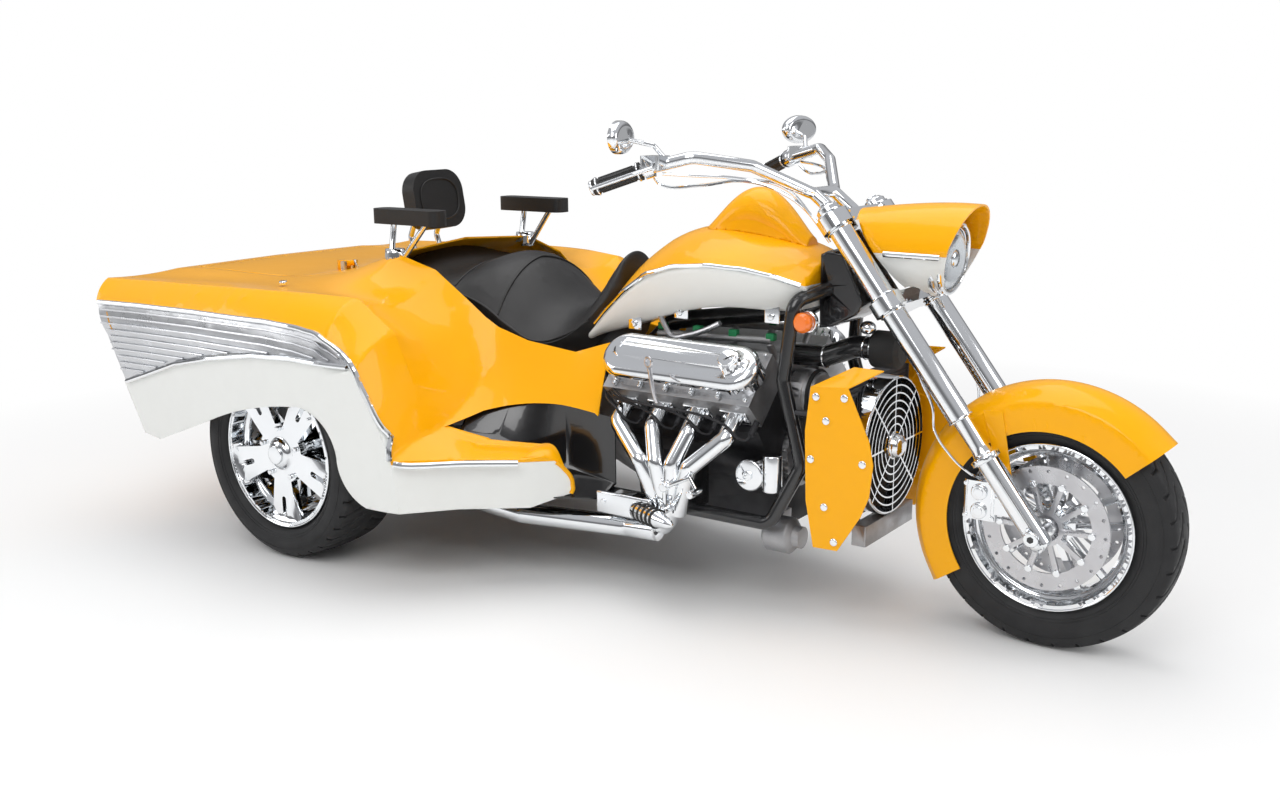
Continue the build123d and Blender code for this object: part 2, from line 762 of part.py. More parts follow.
# Radiator group
radiator_rear = 1600.0
radiator_front = 1650.0
radiator_half = 190.0
radiator_low = 268.0
radiator_high = 640.0
core = block(
    (ahead(radiator_rear), -radiator_half, radiator_low),
    (ahead(radiator_front), radiator_half, radiator_high),
)
tanks = pair(
    block(
        (ahead(radiator_rear - 6), -radiator_half - 8, radiator_low),
        (ahead(radiator_front + 6), -radiator_half, radiator_high),
    )
)
radiator_ears = pair(
    rod((ahead(radiator_rear), -radiator_half, 420), (ahead(1550), -212, 420), 8)
    + rod((ahead(radiator_rear), -radiator_half, 560), (ahead(1512), -210, 560), 8)
)
keep("radiator", core + tanks + (radiator_ears - pieces["frame_loops"]))
guard_x = 1706.0
guard_z = (radiator_low + radiator_high) / 2
guard_radius = 186.0
ring_width = 4.0
guard_wire = 4.0
with BuildPart() as guard:
    with BuildSketch(Plane(origin=(ahead(guard_x), 0, guard_z), x_dir=(0, 1, 0), z_dir=(1, 0, 0))):
        for i in range(7):
            ring = guard_radius - i * 21
            Circle(ring)
            Circle(ring - ring_width, mode=Mode.SUBTRACT)
        with PolarLocations(guard_radius / 2 + 16, 8):
            Rectangle(guard_radius - 34, ring_width + 1)
        Circle(38)
    extrude(amount=guard_wire)
    with BuildSketch(Plane(origin=(ahead(guard_x), 0, guard_z), x_dir=(0, 1, 0), z_dir=(1, 0, 0))):
        Circle(guard_radius + 2)
        Circle(guard_radius - 3, mode=Mode.SUBTRACT)
    extrude(amount=radiator_front - guard_x)
dome_profile = ((0, 34), (6, 34), (20, 28), (28, 14))
hub_dome = turned((ahead(guard_x + guard_wire), 0, guard_z), (1, 0, 0), dome_profile)
fan_spindle = rod((ahead(radiator_front), 0, guard_z), (ahead(guard_x), 0, guard_z), 8)
keep("fan_guard", guard.part + hub_dome + fan_spindle)

fan_x = 1676.0
with BuildPart() as fan:
    with BuildSketch(Plane(origin=(ahead(fan_x), 0, guard_z), x_dir=(0, 1, 0), z_dir=(1, 0, 0))):
        Circle(40)
    extrude(amount=12, both=True)
    for i in range(7):
        turn = radians(360 / 7 * i)
        root = Vector(0, cos(turn), sin(turn))
        with BuildSketch(
            Plane(
                origin=tuple(Vector(ahead(fan_x), 0, guard_z) + root * 30),
                x_dir=tuple(Vector(0, -sin(turn), cos(turn)) + Vector(0.45, 0, 0)),
                z_dir=tuple(root),
            )
        ):
            Rectangle(52, 3)
        extrude(amount=140)
keep("fan", fan.part - rod((ahead(fan_x - 60), 0, guard_z), (ahead(fan_x + 60), 0, guard_z), 8 + running_gap))

# Radiator side covers: a flat side with a top fold that leans in over the fan
cover_y = radiator_half + 52
cover_sheet = 4.0
cover_plan = (
    # ahead, height on the side view
    (1583, 645), (1688, 653), (1750, 521), (1763, 461), (1755, 375), (1732, 318), (1669, 217), (1599, 215),
    (1575, 339), (1569, 525),
)
fold_corners = (
    (ahead(1583), -cover_y - 2, 641),
    (ahead(1688), -cover_y - 2, 649),
    (ahead(1762), -cover_y + 48, 694),
    (ahead(1676), -cover_y + 48, 701),
)


def plate(corners, thickness):
    """A flat plate whose outline runs through corners that lie in one plane."""
    first, second, third = [Vector(*corner) for corner in corners[:3]]
    normal = (second - first).cross(third - first)
    base = Plane(origin=first, x_dir=second - first, z_dir=normal)
    flat = [base.to_local_coords(Vector(*corner)) for corner in corners]
    with BuildPart() as made:
        with BuildSketch(base):
            Polygon(*[(spot.X, spot.Y) for spot in flat], align=None)
        extrude(amount=thickness)
    return made.part


with BuildPart() as radiator_cover:
    with BuildSketch(side_plane(-cover_y)):
        Polygon(*[(ahead(x), z) for x, z in cover_plan], align=None)
    extrude(amount=cover_sheet)
    for height in (330, 560):
        with BuildSketch(side_plane(-cover_y)):
            with Locations((ahead(1630), height)):
                Circle(9)
        extrude(amount=-(cover_y - radiator_half - 8))
keep("radiator_covers", pair(radiator_cover.part + plate(fold_corners, cover_sheet)))

# Oil cooler under the radiator
cooler = block((ahead(1662), -150, 206), (ahead(1704), 150, 262), 4)
cooler += pair(block((ahead(radiator_rear + 10), -130, 240), (ahead(1668), -110, radiator_low)))
keep("oil_cooler", cooler)

# Shroud round the steering neck, and the side lamps on the frame loops
shroud_half = 98.0
shroud_plan = (
    # ahead, height on the side view
    (1524, 770), (1524, 966), (1545, 976), (1592, 972), (1629, 896), (1650, 846), (1631, 812), (1563, 776),
)
with BuildPart() as neck_shroud:
    with BuildSketch(side_plane(-shroud_half)):
        Polygon(*[(ahead(x), z) for x, z in shroud_plan], align=None)
    extrude(amount=-2 * shroud_half)
    fillet(neck_shroud.faces().filter_by(Axis.Y).edges(), radius=8)
keep("neck_shroud", neck_shroud.part - backbone_body - pieces["frame_loops"] - neck_bore)
side_lamp = turned((ahead(1530), -168, 798), (0, -1, 0), ((0, 12), (8, 24), (26, 27), (34, 27), (44, 18)))
keep("side_lamps", pair(side_lamp - pieces["frame_loops"]))

# Body moulding
tail = -tail_overhang
body_rows = (
    # ahead, deck z, rim y z, dip y z, crest y z, side y z, bulge, sill y z
    (tail - 25, 818, 420, 814, 560, 808, 690, 812, 752, 640, 0.20, 702, 250),
    (-350, 826, 420, 818, 560, 813, 698, 824, 770, 640, 0.20, 716, 245),
    (-40, 858, 372, 842, 525, 824, 694, 830, 776, 640, 0.20, 722, 242),
    (180, 934, 316, 912, 470, 838, 660, 829, 775, 630, 0.20, 722, 240),
    (330, 880, 300, 868, 442, 795, 620, 822, 768, 620, 0.20, 722, 240),
    (440, 800, 284, 785, 425, 690, 590, 730, 755, 640, 0.10, 720, 240),
    (500, 750, 272, 735, 400, 595, 575, 565, 742, 515, 0.06, 716, 240),
    (545, 720, 266, 708, 385, 535, 560, 448, 729, 398, 0.05, 708, 240),
    (650, 690, 256, 676, 345, 515, 480, 408, 606, 392, 0.04, 580, 240),
    (810, 660, 236, 655, 300, 520, 380, 402, 480, 388, 0.04, 456, 240),
    (925, 700, 222, 692, 268, 550, 300, 440, 346, 402, 0.04, 336, 290),
)


def body_points(row, inset):
    """The corner points of one half section, moved inwards by the wall's thickness."""
    distance, deck, rim_y, rim_z, dip_y, dip_z, crest_y, crest_z, side_y, side_z, bulge, sill_y, sill_z = row
    run = hypot(side_y - crest_y, crest_z - side_z)
    out_y = (crest_z - side_z) / run
    out_z = (side_y - crest_y) / run
    shoulder = (
        (crest_y + side_y) / 2 + out_y * run * bulge,
        (crest_z + side_z) / 2 + out_z * run * bulge,
    )
    lean = inset * 0.7
    return {
        "deck": (0, deck - inset),
        "rim": (-rim_y, rim_z - inset),
        "dip": (-dip_y + inset * out_y * 0.6, dip_z - inset),
        "crest": (-crest_y + inset * out_y * 0.8, crest_z - inset),
        "shoulder": (-shoulder[0] + inset * out_y, shoulder[1] - inset * out_z),
        "side": (-side_y + inset, side_z - lean * 0.4),
        "sill": (-sill_y + inset, sill_z),
    }


def half_band(row, inset, with_deck):
    """One half section of the moulding's wall, as a closed outline on the right side."""
    outer = body_points(row, 0)
    inner = body_points(row, inset)
    with BuildSketch(cross_plane(row[0])) as made:
        with BuildLine():
            if with_deck:
                Line(outer["deck"], outer["rim"])
            ThreePointArc(outer["rim"], outer["dip"], outer["crest"])
            ThreePointArc(outer["crest"], outer["shoulder"], outer["side"])
            Line(outer["side"], outer["sill"])
            Line(outer["sill"], inner["sill"])
            Line(inner["sill"], inner["side"])
            ThreePointArc(inner["side"], inner["shoulder"], inner["crest"])
            ThreePointArc(inner["crest"], inner["dip"], inner["rim"])
            if with_deck:
                Line(inner["rim"], inner["deck"])
                Line(inner["deck"], outer["deck"])
            else:
                Line(inner["rim"], outer["rim"])
        make_face()
    return made.sketch


deck_rows = body_rows[:4]
front_rows = body_rows[3:]
with BuildPart() as rear_half:
    loft([half_band(row, body_wall, True) for row in deck_rows])
with BuildPart() as front_half:
    loft([half_band(row, body_wall, False) for row in front_rows], ruled=True)
half_shell = rear_half.part + front_half.part

# The tail is cut on a slant, and each side has a skirted wheel opening
with BuildPart() as side_cuts:
    with BuildSketch(side_plane(0)):
        with BuildLine():
            Polyline(
                (ahead(tail), 900),
                (ahead(tail), 812),
                (ahead(tail + 165), 320),
                (ahead(tail + 245), 309),
                (ahead(-213), 419),
            )
            ThreePointArc((ahead(-213), 419), (ahead(20), 488), (ahead(205), 514))
            ThreePointArc((ahead(205), 514), (ahead(300), 470), (ahead(335), 375))
            ThreePointArc((ahead(335), 375), (ahead(356), 290), (ahead(425), 241))
            Polyline(
                (ahead(425), 241),
                (ahead(425), 100),
                (ahead(tail - 135), 100),
                (ahead(tail - 135), 900),
                (ahead(tail), 900),
            )
        make_face()
        with BuildLine():
            Line((ahead(550), 455), (ahead(600), 487))
            ThreePointArc((ahead(600), 487), (ahead(760), 512), (ahead(915), 497))
            Polyline(
                (ahead(915), 497),
                (ahead(975), 450),
                (ahead(1040), 440),
                (ahead(1040), 100),
                (ahead(890), 100),
                (ahead(890), 260),
            )
            ThreePointArc((ahead(890), 260), (ahead(872), 370), (ahead(815), 408))
            Line((ahead(815), 408), (ahead(660), 418))
            Line((ahead(660), 418), (ahead(550), 455))
        make_face()
    extrude(amount=900)
half_shell -= side_cuts.part


def fill_half(row, inset):
    """The space inside one half section, closed at the middle and at the sill."""
    inner = body_points(row, inset)
    floor_z = inner["sill"][1]
    with BuildSketch(cross_plane(row[0])) as made:
        with BuildLine():
            Line(inner["deck"], inner["rim"])
            ThreePointArc(inner["rim"], inner["dip"], inner["crest"])
            ThreePointArc(inner["crest"], inner["shoulder"], inner["side"])
            Line(inner["side"], inner["sill"])
            Line(inner["sill"], (0, floor_z))
            Line((0, floor_z), inner["deck"])
        make_face()
    return made.sketch


with BuildPart() as inside_half:
    loft([fill_half(row, body_wall + seat_gap) for row in deck_rows])
inside = pair(inside_half.part)

# Colour and metal panels of each side, split along the mouldings
with BuildPart() as fin_region:
    with BuildSketch(side_plane(-620)):
        with BuildLine():
            Polyline((ahead(tail - 35), 437), (ahead(tail - 35), 740), (ahead(tail), 741))
            ThreePointArc((ahead(tail), 741), (ahead(-270), 757), (ahead(225), 745))
            ThreePointArc((ahead(225), 745), (ahead(345), 716), (ahead(440), 645))
            ThreePointArc((ahead(440), 645), (ahead(60), 656), (ahead(-339), 584))
            Polyline((ahead(-339), 584), (ahead(tail + 99), 482), (ahead(tail - 35), 437))
        make_face()
    extrude(amount=300)
with BuildPart() as lower_region:
    with BuildSketch(side_plane(-330)):
        with BuildLine():
            Polyline(
                (ahead(tail - 35), 200),
                (ahead(tail - 35), 437),
                (ahead(tail + 99), 482),
                (ahead(-339), 584),
            )
            ThreePointArc((ahead(-339), 584), (ahead(60), 656), (ahead(440), 645))
            Polyline(
                (ahead(440), 645), (ahead(478), 568), (ahead(528), 461), (ahead(545), 388), (ahead(650), 384),
                (ahead(810), 380), (ahead(905), 376), (ahead(905), 200), (ahead(tail - 35), 200),
            )
        make_face()
    extrude(amount=500)
fin_panel = half_shell & fin_region.part
lower_panel = half_shell & lower_region.part
upper_shell = half_shell - fin_region.part - lower_region.part
keep("fin_panels", pair(fin_panel))
keep("lower_panels", pair(lower_panel))

# Trunk: a lid hinged at its front edge over an open tub
lid_rear = tail + 65
lid_front = -125.0
lid_half = 385.0
lid_gap = moving_gap
hinge_ahead = lid_front + 10
hinge_z = 856.0
hinge_pin_radius = 4.0
lid_space = block(
    (ahead(lid_rear - lid_gap), -lid_half - lid_gap, 740),
    (ahead(hinge_ahead), lid_half + lid_gap, 900),
    30,
)
lid_form = block((ahead(lid_rear), -lid_half, 740), (ahead(lid_front), lid_half, 900), 26)
full_shell = pair(upper_shell)
trunk_lid = full_shell & lid_form
body_shell = full_shell - lid_space
tub_rear = lid_rear - 8
tub_front = lid_front + 8
tub_floor = rear_rail_z + frame_tube_radius
tub_half = lid_half + 10
tub_outer = block(
    (ahead(tub_rear - sheet), -tub_half, tub_floor),
    (ahead(tub_front + sheet + 4), tub_half, 900),
)
tub_inner = block(
    (ahead(tub_rear), -tub_half + sheet, tub_floor + sheet),
    (ahead(tub_front + 4), tub_half - sheet, 901),
)
panel_lean = (812 - 320) / 165
panel_top = 830.0
panel_drop = 500.0
panel_back = tail + 37
panel_front = panel_back + 5
with BuildPart() as tail_slab:
    with BuildSketch(side_plane(800)):
        with BuildLine():
            Polyline(
                (ahead(panel_back), panel_top),
                (ahead(panel_back + panel_drop / panel_lean), panel_top - panel_drop),
                (ahead(panel_front + panel_drop / panel_lean), panel_top - panel_drop),
                (ahead(panel_front), panel_top),
                close=True,
            )
        make_face()
    extrude(amount=1600)
rear_panel = tail_slab.part & inside
with BuildPart() as behind_panel:
    with BuildSketch(side_plane(800)):
        with BuildLine():
            Polyline(
                (ahead(panel_front), 1000),
                (ahead(panel_front), panel_top),
                (ahead(panel_front + panel_drop / panel_lean), panel_top - panel_drop),
                (ahead(tail - 235), panel_top - panel_drop),
                (ahead(tail - 235), 1000),
                close=True,
            )
        make_face()
    extrude(amount=1600)
trunk_tub = ((tub_outer - tub_inner) & inside) - behind_panel.part
keep("body_shell", body_shell)
keep("trunk_tub", trunk_tub)
lid_ears = None
pins = None
for y in (-240, 240):
    ear = block((ahead(lid_front - 30), y - 14, hinge_z - 24), (ahead(hinge_ahead + 8), y + 14, hinge_z + 8))
    lid_ears = ear if lid_ears is None else lid_ears + ear
    pin = rod((ahead(hinge_ahead), y - 30, hinge_z), (ahead(hinge_ahead), y + 30, hinge_z), hinge_pin_radius)
    for end in (-1, 1):
        pin += block(
            (ahead(hinge_ahead - 7), y + end * 25 - 5, hinge_z - 30),
            (ahead(hinge_ahead + 9), y + end * 25 + 5, hinge_z + 7),
        )
    pins = pin if pins is None else pins + pin
lid_bores = rod(
    (ahead(hinge_ahead), -300, hinge_z),
    (ahead(hinge_ahead), 300, hinge_z),
    hinge_pin_radius + running_gap,
)
ear_trim = block((ahead(lid_front + 2), -300, hinge_z - 60), (ahead(hinge_ahead + 30), 300, hinge_z - 9))
keep("trunk_lid", trunk_lid + (lid_ears - inside - ear_trim) - lid_bores)
keep("lid_hinges", pins - body_shell - inside)

# Footwell liners
well_rows = (
    # ahead, top y z, heel y z, lip y z
    (560, 372, 520, 470, 430, 640, 380),
    (650, 336, 512, 400, 418, 560, 376),
    (810, 286, 505, 286, 320, 444, 270),
    (960, 250, 480, 250, 288, 330, 262),
)
with BuildPart() as well:
    sections = []
    for distance, top_y, top_z, heel_y, heel_z, lip_y, lip_z in well_rows:
        with BuildSketch(cross_plane(distance), mode=Mode.PRIVATE) as well_section:
            with BuildLine():
                Line((-top_y, top_z), (-heel_y, heel_z))
                Line((-heel_y, heel_z), (-lip_y, lip_z))
                Line((-lip_y, lip_z), (-lip_y, lip_z - 4))
                Line((-lip_y, lip_z - 4), (-heel_y + 4, heel_z - 5))
                Line((-heel_y + 4, heel_z - 5), (-top_y + 4, top_z))
                Line((-top_y + 4, top_z), (-top_y, top_z))
            make_face()
        sections.append(well_section.sketch)
    loft(sections, ruled=True)
well_piece = well.part - upper_shell - lower_panel
keep("footwell_liners", pair(well_piece))

# Seat, tank and console
seat_rows = (
    # ahead, half width, edge z, top z, bottom z
    (70, 170, 838, 872, 800),
    (190, 262, 846, 862, 740),
    (330, 270, 812, 872, 690),
    (480, 258, 762, 899, 640),
    (660, 240, 668, 765, 600),
    (780, 178, 716, 806, 640),
    (872, 84, 820, 880, 760),
)


def cushion_section(row):
    """A crowned top over sides that pull in to a flat base."""
    distance, half, edge_z, top_z, base_z = row
    with BuildSketch(cross_plane(distance)) as made:
        with BuildLine():
            ThreePointArc((-half, edge_z), (0, top_z), (half, edge_z))
            Line((half, edge_z), (half * 0.86, base_z))
            Line((half * 0.86, base_z), (-half * 0.86, base_z))
            Line((-half * 0.86, base_z), (-half, edge_z))
        make_face()
    return made.sketch


with BuildPart() as seat:
    loft([cushion_section(row) for row in seat_rows])
seat_part = largest(seat.part - body_shell - backbone)
keep("seat", seat_part)

tank_rows = (
    # ahead, half width, widest z, top z, base half width, base z
    (790, 150, 690, 720, 130, 672),
    (880, 172, 768, 846, 140, 712),
    (1010, 200, 858, 968, 150, 752),
    (1200, 222, 915, 1024, 170, 806),
    (1390, 218, 912, 996, 160, 816),
    (1520, 172, 890, 950, 110, 830),
)
with BuildPart() as tank:
    sections = []
    for distance, half, wide_z, top_z, base_half, base_z in tank_rows:
        cheek = (half + base_half) / 2 + 10
        cheek_z = (wide_z + base_z) / 2
        with BuildSketch(cross_plane(distance), mode=Mode.PRIVATE) as tank_section:
            with BuildLine():
                ThreePointArc((-half, wide_z), (0, top_z), (half, wide_z))
                ThreePointArc((half, wide_z), (cheek, cheek_z), (base_half, base_z))
                Line((base_half, base_z), (-base_half, base_z))
                ThreePointArc((-base_half, base_z), (-cheek, cheek_z), (-half, wide_z))
            make_face()
        sections.append(tank_section.sketch)
    loft(sections)
tank_part = tank.part - seat_part - backbone - pair(side_loop) - neck
keep("fuel_tank", tank_part)

console_rows = (
    # ahead, half width, base z, top z
    (1060, 70, 960, 996),
    (1180, 92, 960, 1066),
    (1272, 84, 960, 1128),
    (1400, 60, 940, 1052),
    (1450, 40, 920, 1000),
)
with BuildPart() as console:
    sections = []
    for distance, half, base_z, top_z in console_rows:
        brow = half * 0.8
        brow_z = (base_z + top_z) / 2
        with BuildSketch(cross_plane(distance), mode=Mode.PRIVATE) as console_section:
            with BuildLine():
                Line((-half, base_z), (-brow, brow_z))
                ThreePointArc((-brow, brow_z), (0, top_z), (brow, brow_z))
                Line((brow, brow_z), (half, base_z))
                Line((half, base_z), (-half, base_z))
            make_face()
        sections.append(console_section.sketch)
    loft(sections)
keep("console", largest(console.part - tank_part - neck))

# Backrest and armrests
with BuildPart() as pad:
    with BuildSketch(Plane(origin=(ahead(20), 0, 1045), x_dir=(0, 1, 0), z_dir=(0.98, 0, 0.17))):
        RectangleRounded(230, 190, 70)
    extrude(amount=52)
keep("backrest", pad.part)
backrest_stay = tube([(ahead(24), -60, 1010), (ahead(-10), -60, 930), (ahead(20), -60, 850)], 9, 20)
keep("backrest_stay", pair(largest(backrest_stay - pad.part - body_shell - inside)))
rest_pad = block((ahead(90), -330, 1000), (ahead(360), -262, 1046), 26)
rest_stay = rod((ahead(170), -309, 1000), (ahead(150), -309, 880), 9)
rest_stay += rod((ahead(290), -296, 1000), (ahead(190), -309, 880), 9)
rest_foot = turned((ahead(170), -309, 880), (0, 0, 1), ((0, 34), (44, 30)))
keep("armrest_pads", pair(rest_pad))
keep("armrest_stays", pair(largest(rest_stay + rest_foot - rest_pad - body_shell - inside - seat_part)))

# Tail lamps and bumper
bumper_x = tail + 97
bumper = rod((ahead(bumper_x), -600, 452), (ahead(bumper_x), 600, 452), 20)
bumper_arm = rod((ahead(bumper_x), -rail_y, 428), (ahead(-480), -rail_y, rear_rail_z), 10)
keep("rear_bumper", bumper + pair(bumper_arm) - pair(fin_panel) - pair(lower_panel) - pieces["frame_loops"])
arm_hole = rod((ahead(tail + 65), -rail_y, 430), (ahead(tail + 265), -rail_y, 421), 13)
keep("rear_panel", rear_panel - pair(arm_hole))
plate_x = tail + 63
plate_z = 612.0
plate_hole_spread = 178.0
with BuildPart() as plate_bracket:
    with BuildSketch(cross_plane(plate_x, 0, plate_z)):
        RectangleRounded(236, 78, 10)
        with Locations((-plate_hole_spread / 2, 0), (plate_hole_spread / 2, 0)):
            Circle(3.3, mode=Mode.SUBTRACT)
    extrude(amount=sheet)
    with BuildSketch(cross_plane(plate_x + sheet, 0, plate_z)):
        with Locations((-55, 0), (55, 0)):
            Circle(9)
    extrude(amount=52)
keep("plate_bracket", largest(plate_bracket.part - rear_panel))
lamp_lens = turned((ahead(tail + 85), -560, 640), (-1, 0, 0.0), ((0, 44), (24, 44), (40, 30), (46, 12)))
keep("tail_lamps", pair(lamp_lens) - rear_panel)

# Exhaust, intake and foot gear
exhaust = tube(
    [
        (ahead(1150), -312, 196),
        (ahead(1040), -300, 186),
        (ahead(720), -384, 190),
        (ahead(440), -380, 205),
        (ahead(-300), -370, 215),
        (ahead(-560), -370, 240),
    ],
    30,
    60,
)
keep("exhaust_pipes", pair(exhaust - headers))

filter_start = 1640.0
filter_z = 712.0
filter_body = turned((ahead(filter_start), 0, filter_z), (1, 0, 0), ((0, 42), (8, 50), (74, 50), (86, 34)))
air_tube = tube(
    [
        (ahead(engine_front - 30), 0, 672),
        (ahead(1500), 0, 676),
        (ahead(1590), 0, filter_z),
        (ahead(filter_start), 0, filter_z),
    ],
    30,
    60,
)
keep("air_filter", filter_body)
keep("air_tube", air_tube - intake_part)

peg_profile = ((0, 16), (20, 26), (120, 24), (170, 14), (186, 5))
peg = turned((ahead(1098), -354, 262), (0.92, -0.36, 0.0), peg_profile)
peg_arm = rod((ahead(1070), -320, 256), (ahead(1112), -360, 262), 10)
foot_box = block((ahead(990), -346, 238), (ahead(1082), -rail_y - frame_tube_radius, 278), 6)
keep("foot_pegs", pair(peg + peg_arm + foot_box))

caliper = block(
    (front_axle_x - 196, -120, front_axle_z + 10),
    (front_axle_x - 110, -62, front_axle_z + 110),
    12,
)
caliper += block(
    (front_axle_x - 114, -120, front_axle_z + 30),
    (front_axle_x - 50, -104, front_axle_z + 74),
)
caliper_slot = disc_thickness / 2 + 1 + 5
caliper -= block((front_axle_x - 300, -disc_y - caliper_slot, 0), (front_axle_x, -disc_y + caliper_slot, 900))
caliper -= fork_leg
keep("brake_calipers", pair(caliper))

for name, made in pieces.items():
    made.label = name
    export_step(made, f"parts/{name}.step")
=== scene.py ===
# %% [markdown]
# # A three-wheeled motor cycle with a V8 engine
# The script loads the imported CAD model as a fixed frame, gives every piece a smooth skin and a
# procedural finish, adds the small parts that CAD leaves out, and sets up a studio picture taken from
# the same place as the photograph. Lengths are in metres, +X is forward, +Y is left and +Z is up.

import json
from math import atan2, cos, pi, radians, sin

import bmesh
import bpy
from mathutils import Matrix, Vector
from mathutils.bvhtree import BVHTree


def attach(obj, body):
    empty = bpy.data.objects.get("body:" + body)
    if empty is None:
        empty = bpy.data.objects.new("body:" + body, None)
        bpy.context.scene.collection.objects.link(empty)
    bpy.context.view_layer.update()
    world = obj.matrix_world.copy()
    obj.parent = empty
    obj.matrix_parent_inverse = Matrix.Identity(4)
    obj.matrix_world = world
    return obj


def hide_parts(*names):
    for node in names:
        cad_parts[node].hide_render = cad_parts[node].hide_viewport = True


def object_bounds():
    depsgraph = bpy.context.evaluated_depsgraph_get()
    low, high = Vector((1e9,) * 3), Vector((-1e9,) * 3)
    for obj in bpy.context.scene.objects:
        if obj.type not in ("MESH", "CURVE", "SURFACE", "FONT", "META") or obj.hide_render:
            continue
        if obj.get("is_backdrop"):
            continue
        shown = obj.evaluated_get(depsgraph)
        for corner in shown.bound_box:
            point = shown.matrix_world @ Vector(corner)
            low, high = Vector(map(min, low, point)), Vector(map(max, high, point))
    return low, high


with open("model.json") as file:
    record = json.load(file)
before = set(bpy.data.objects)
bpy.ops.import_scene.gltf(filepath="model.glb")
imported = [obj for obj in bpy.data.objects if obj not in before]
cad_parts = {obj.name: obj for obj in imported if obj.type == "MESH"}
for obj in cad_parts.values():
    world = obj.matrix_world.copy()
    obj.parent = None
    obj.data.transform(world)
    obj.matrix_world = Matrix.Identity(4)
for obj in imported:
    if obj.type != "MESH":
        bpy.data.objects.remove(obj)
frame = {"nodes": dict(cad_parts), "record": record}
bpy.ops.object.select_all(action="DESELECT")
bpy.context.view_layer.objects.active = None
cad_low, cad_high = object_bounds()
print("CAD nodes", len(frame["nodes"]))
print("CAD box from", list(cad_low), "to", list(cad_high))

# %% [markdown]
# ## Dimensions
# A maker works from a few driving sizes. The same ones are repeated here from the CAD model, which the
# script can't read, so that each added detail lands on the part it belongs to.

# %% Dimensions
rear_axle_x = -0.8515
front_axle = Vector((1.2985, 0, 0.318))
rear_axle = Vector((rear_axle_x, 0.575, 0.325))
rake = radians(37.4)
leg_up = Vector((-sin(rake), 0, cos(rake)))
leg_forward = Vector((cos(rake), 0, sin(rake)))
fork_half = 0.136


def ahead(distance):
    """X of a point this many metres ahead of the rear axle."""
    return rear_axle_x + distance


def on_fork(along, forward=0.0, y=0.0):
    """A point this far up the fork from the axle, and this far ahead of its legs."""
    return front_axle + leg_up * along + leg_forward * forward + Vector((0, y, 0))


print("wheelbase in metres", round(front_axle.x - rear_axle.x, 4))

# %% [markdown]
# ## Shared node groups
# Real paint, metal and rubber are never quite even: dust and fine scratches dull them in patches.
# A picture of dirt could be laid on them, but noise from nodes needs no file and shows no seam. Each
# effect is a node group, a small machine of shader nodes that every material uses with its own values.

# %% Node helpers
# A Mix node in colour mode takes its colours at inputs 6 and 7 and gives its result at output 2.
mix_first = 6
mix_second = 7
mix_result = 2


def new_group(name, inputs, outputs):
    """An empty node group with the named sockets."""
    group = bpy.data.node_groups.new(name, "ShaderNodeTree")
    for label, kind, value in inputs:
        socket = group.interface.new_socket(name=label, in_out="INPUT", socket_type=kind)
        if value is not None:
            socket.default_value = value
    for label, kind in outputs:
        group.interface.new_socket(name=label, in_out="OUTPUT", socket_type=kind)
    return group


def node(tree, kind, x, y, **values):
    """A new node at a place in the editor, with its named inputs set."""
    made = tree.nodes.new(kind)
    made.location = (x, y)
    for label, value in values.items():
        made.inputs[label.replace("_", " ")].default_value = value
    return made


print("node helpers", new_group.__name__, node.__name__)

# %% [markdown]
# `Fine grain` turns Object coordinates into a soft random value. Object coordinates are fixed to the
# piece, so the pattern stays on it when it moves.

# %% Fine grain
grain = new_group(
    "Fine grain",
    [("Scale", "NodeSocketFloat", 60.0), ("Detail", "NodeSocketFloat", 4.0)],
    [("Value", "NodeSocketFloat")],
)
grain_in = node(grain, "NodeGroupInput", -600, 0)
grain_out = node(grain, "NodeGroupOutput", 300, 0)
grain_coords = node(grain, "ShaderNodeTexCoord", -600, 200)
grain_noise = node(grain, "ShaderNodeTexNoise", -200, 100)
grain.links.new(grain_coords.outputs["Object"], grain_noise.inputs["Vector"])
grain.links.new(grain_in.outputs["Scale"], grain_noise.inputs["Scale"])
grain.links.new(grain_in.outputs["Detail"], grain_noise.inputs["Detail"])
grain.links.new(grain_noise.outputs[0], grain_out.inputs["Value"])
print("nodes in", grain.name, len(grain.nodes))

# %% [markdown]
# `Dust and wear` darkens a colour and raises a roughness by a little of the grain. Its mask goes from
# nothing to full over the middle of the grain's range, so that part of a surface stays clean.

# %% Dust and wear
mask_start = 0.35
mask_end = 0.65
dust_tint = (0.55, 0.53, 0.5, 1)
wear = new_group(
    "Dust and wear",
    [
        ("Color", "NodeSocketColor", (0.8, 0.8, 0.8, 1)),
        ("Roughness", "NodeSocketFloat", 0.4),
        ("Scale", "NodeSocketFloat", 18.0),
        ("Amount", "NodeSocketFloat", 0.15),
    ],
    [("Color", "NodeSocketColor"), ("Roughness", "NodeSocketFloat")],
)
wear_in = node(wear, "NodeGroupInput", -700, 0)
wear_out = node(wear, "NodeGroupOutput", 500, 0)
wear_noise = node(wear, "ShaderNodeGroup", -450, 200)
wear_noise.node_tree = grain
wear.links.new(wear_in.outputs["Scale"], wear_noise.inputs["Scale"])
wear_range = node(wear, "ShaderNodeMapRange", -200, 200)
wear_range.inputs["From Min"].default_value = mask_start
wear_range.inputs["From Max"].default_value = mask_end
wear.links.new(wear_noise.outputs["Value"], wear_range.inputs["Value"])
wear_amount = node(wear, "ShaderNodeMath", 0, 200)
wear_amount.operation = "MULTIPLY"
wear.links.new(wear_range.outputs["Result"], wear_amount.inputs[0])
wear.links.new(wear_in.outputs["Amount"], wear_amount.inputs[1])
wear_dark = node(wear, "ShaderNodeMix", 200, 100)
wear_dark.data_type = "RGBA"
wear_dark.blend_type = "MULTIPLY"
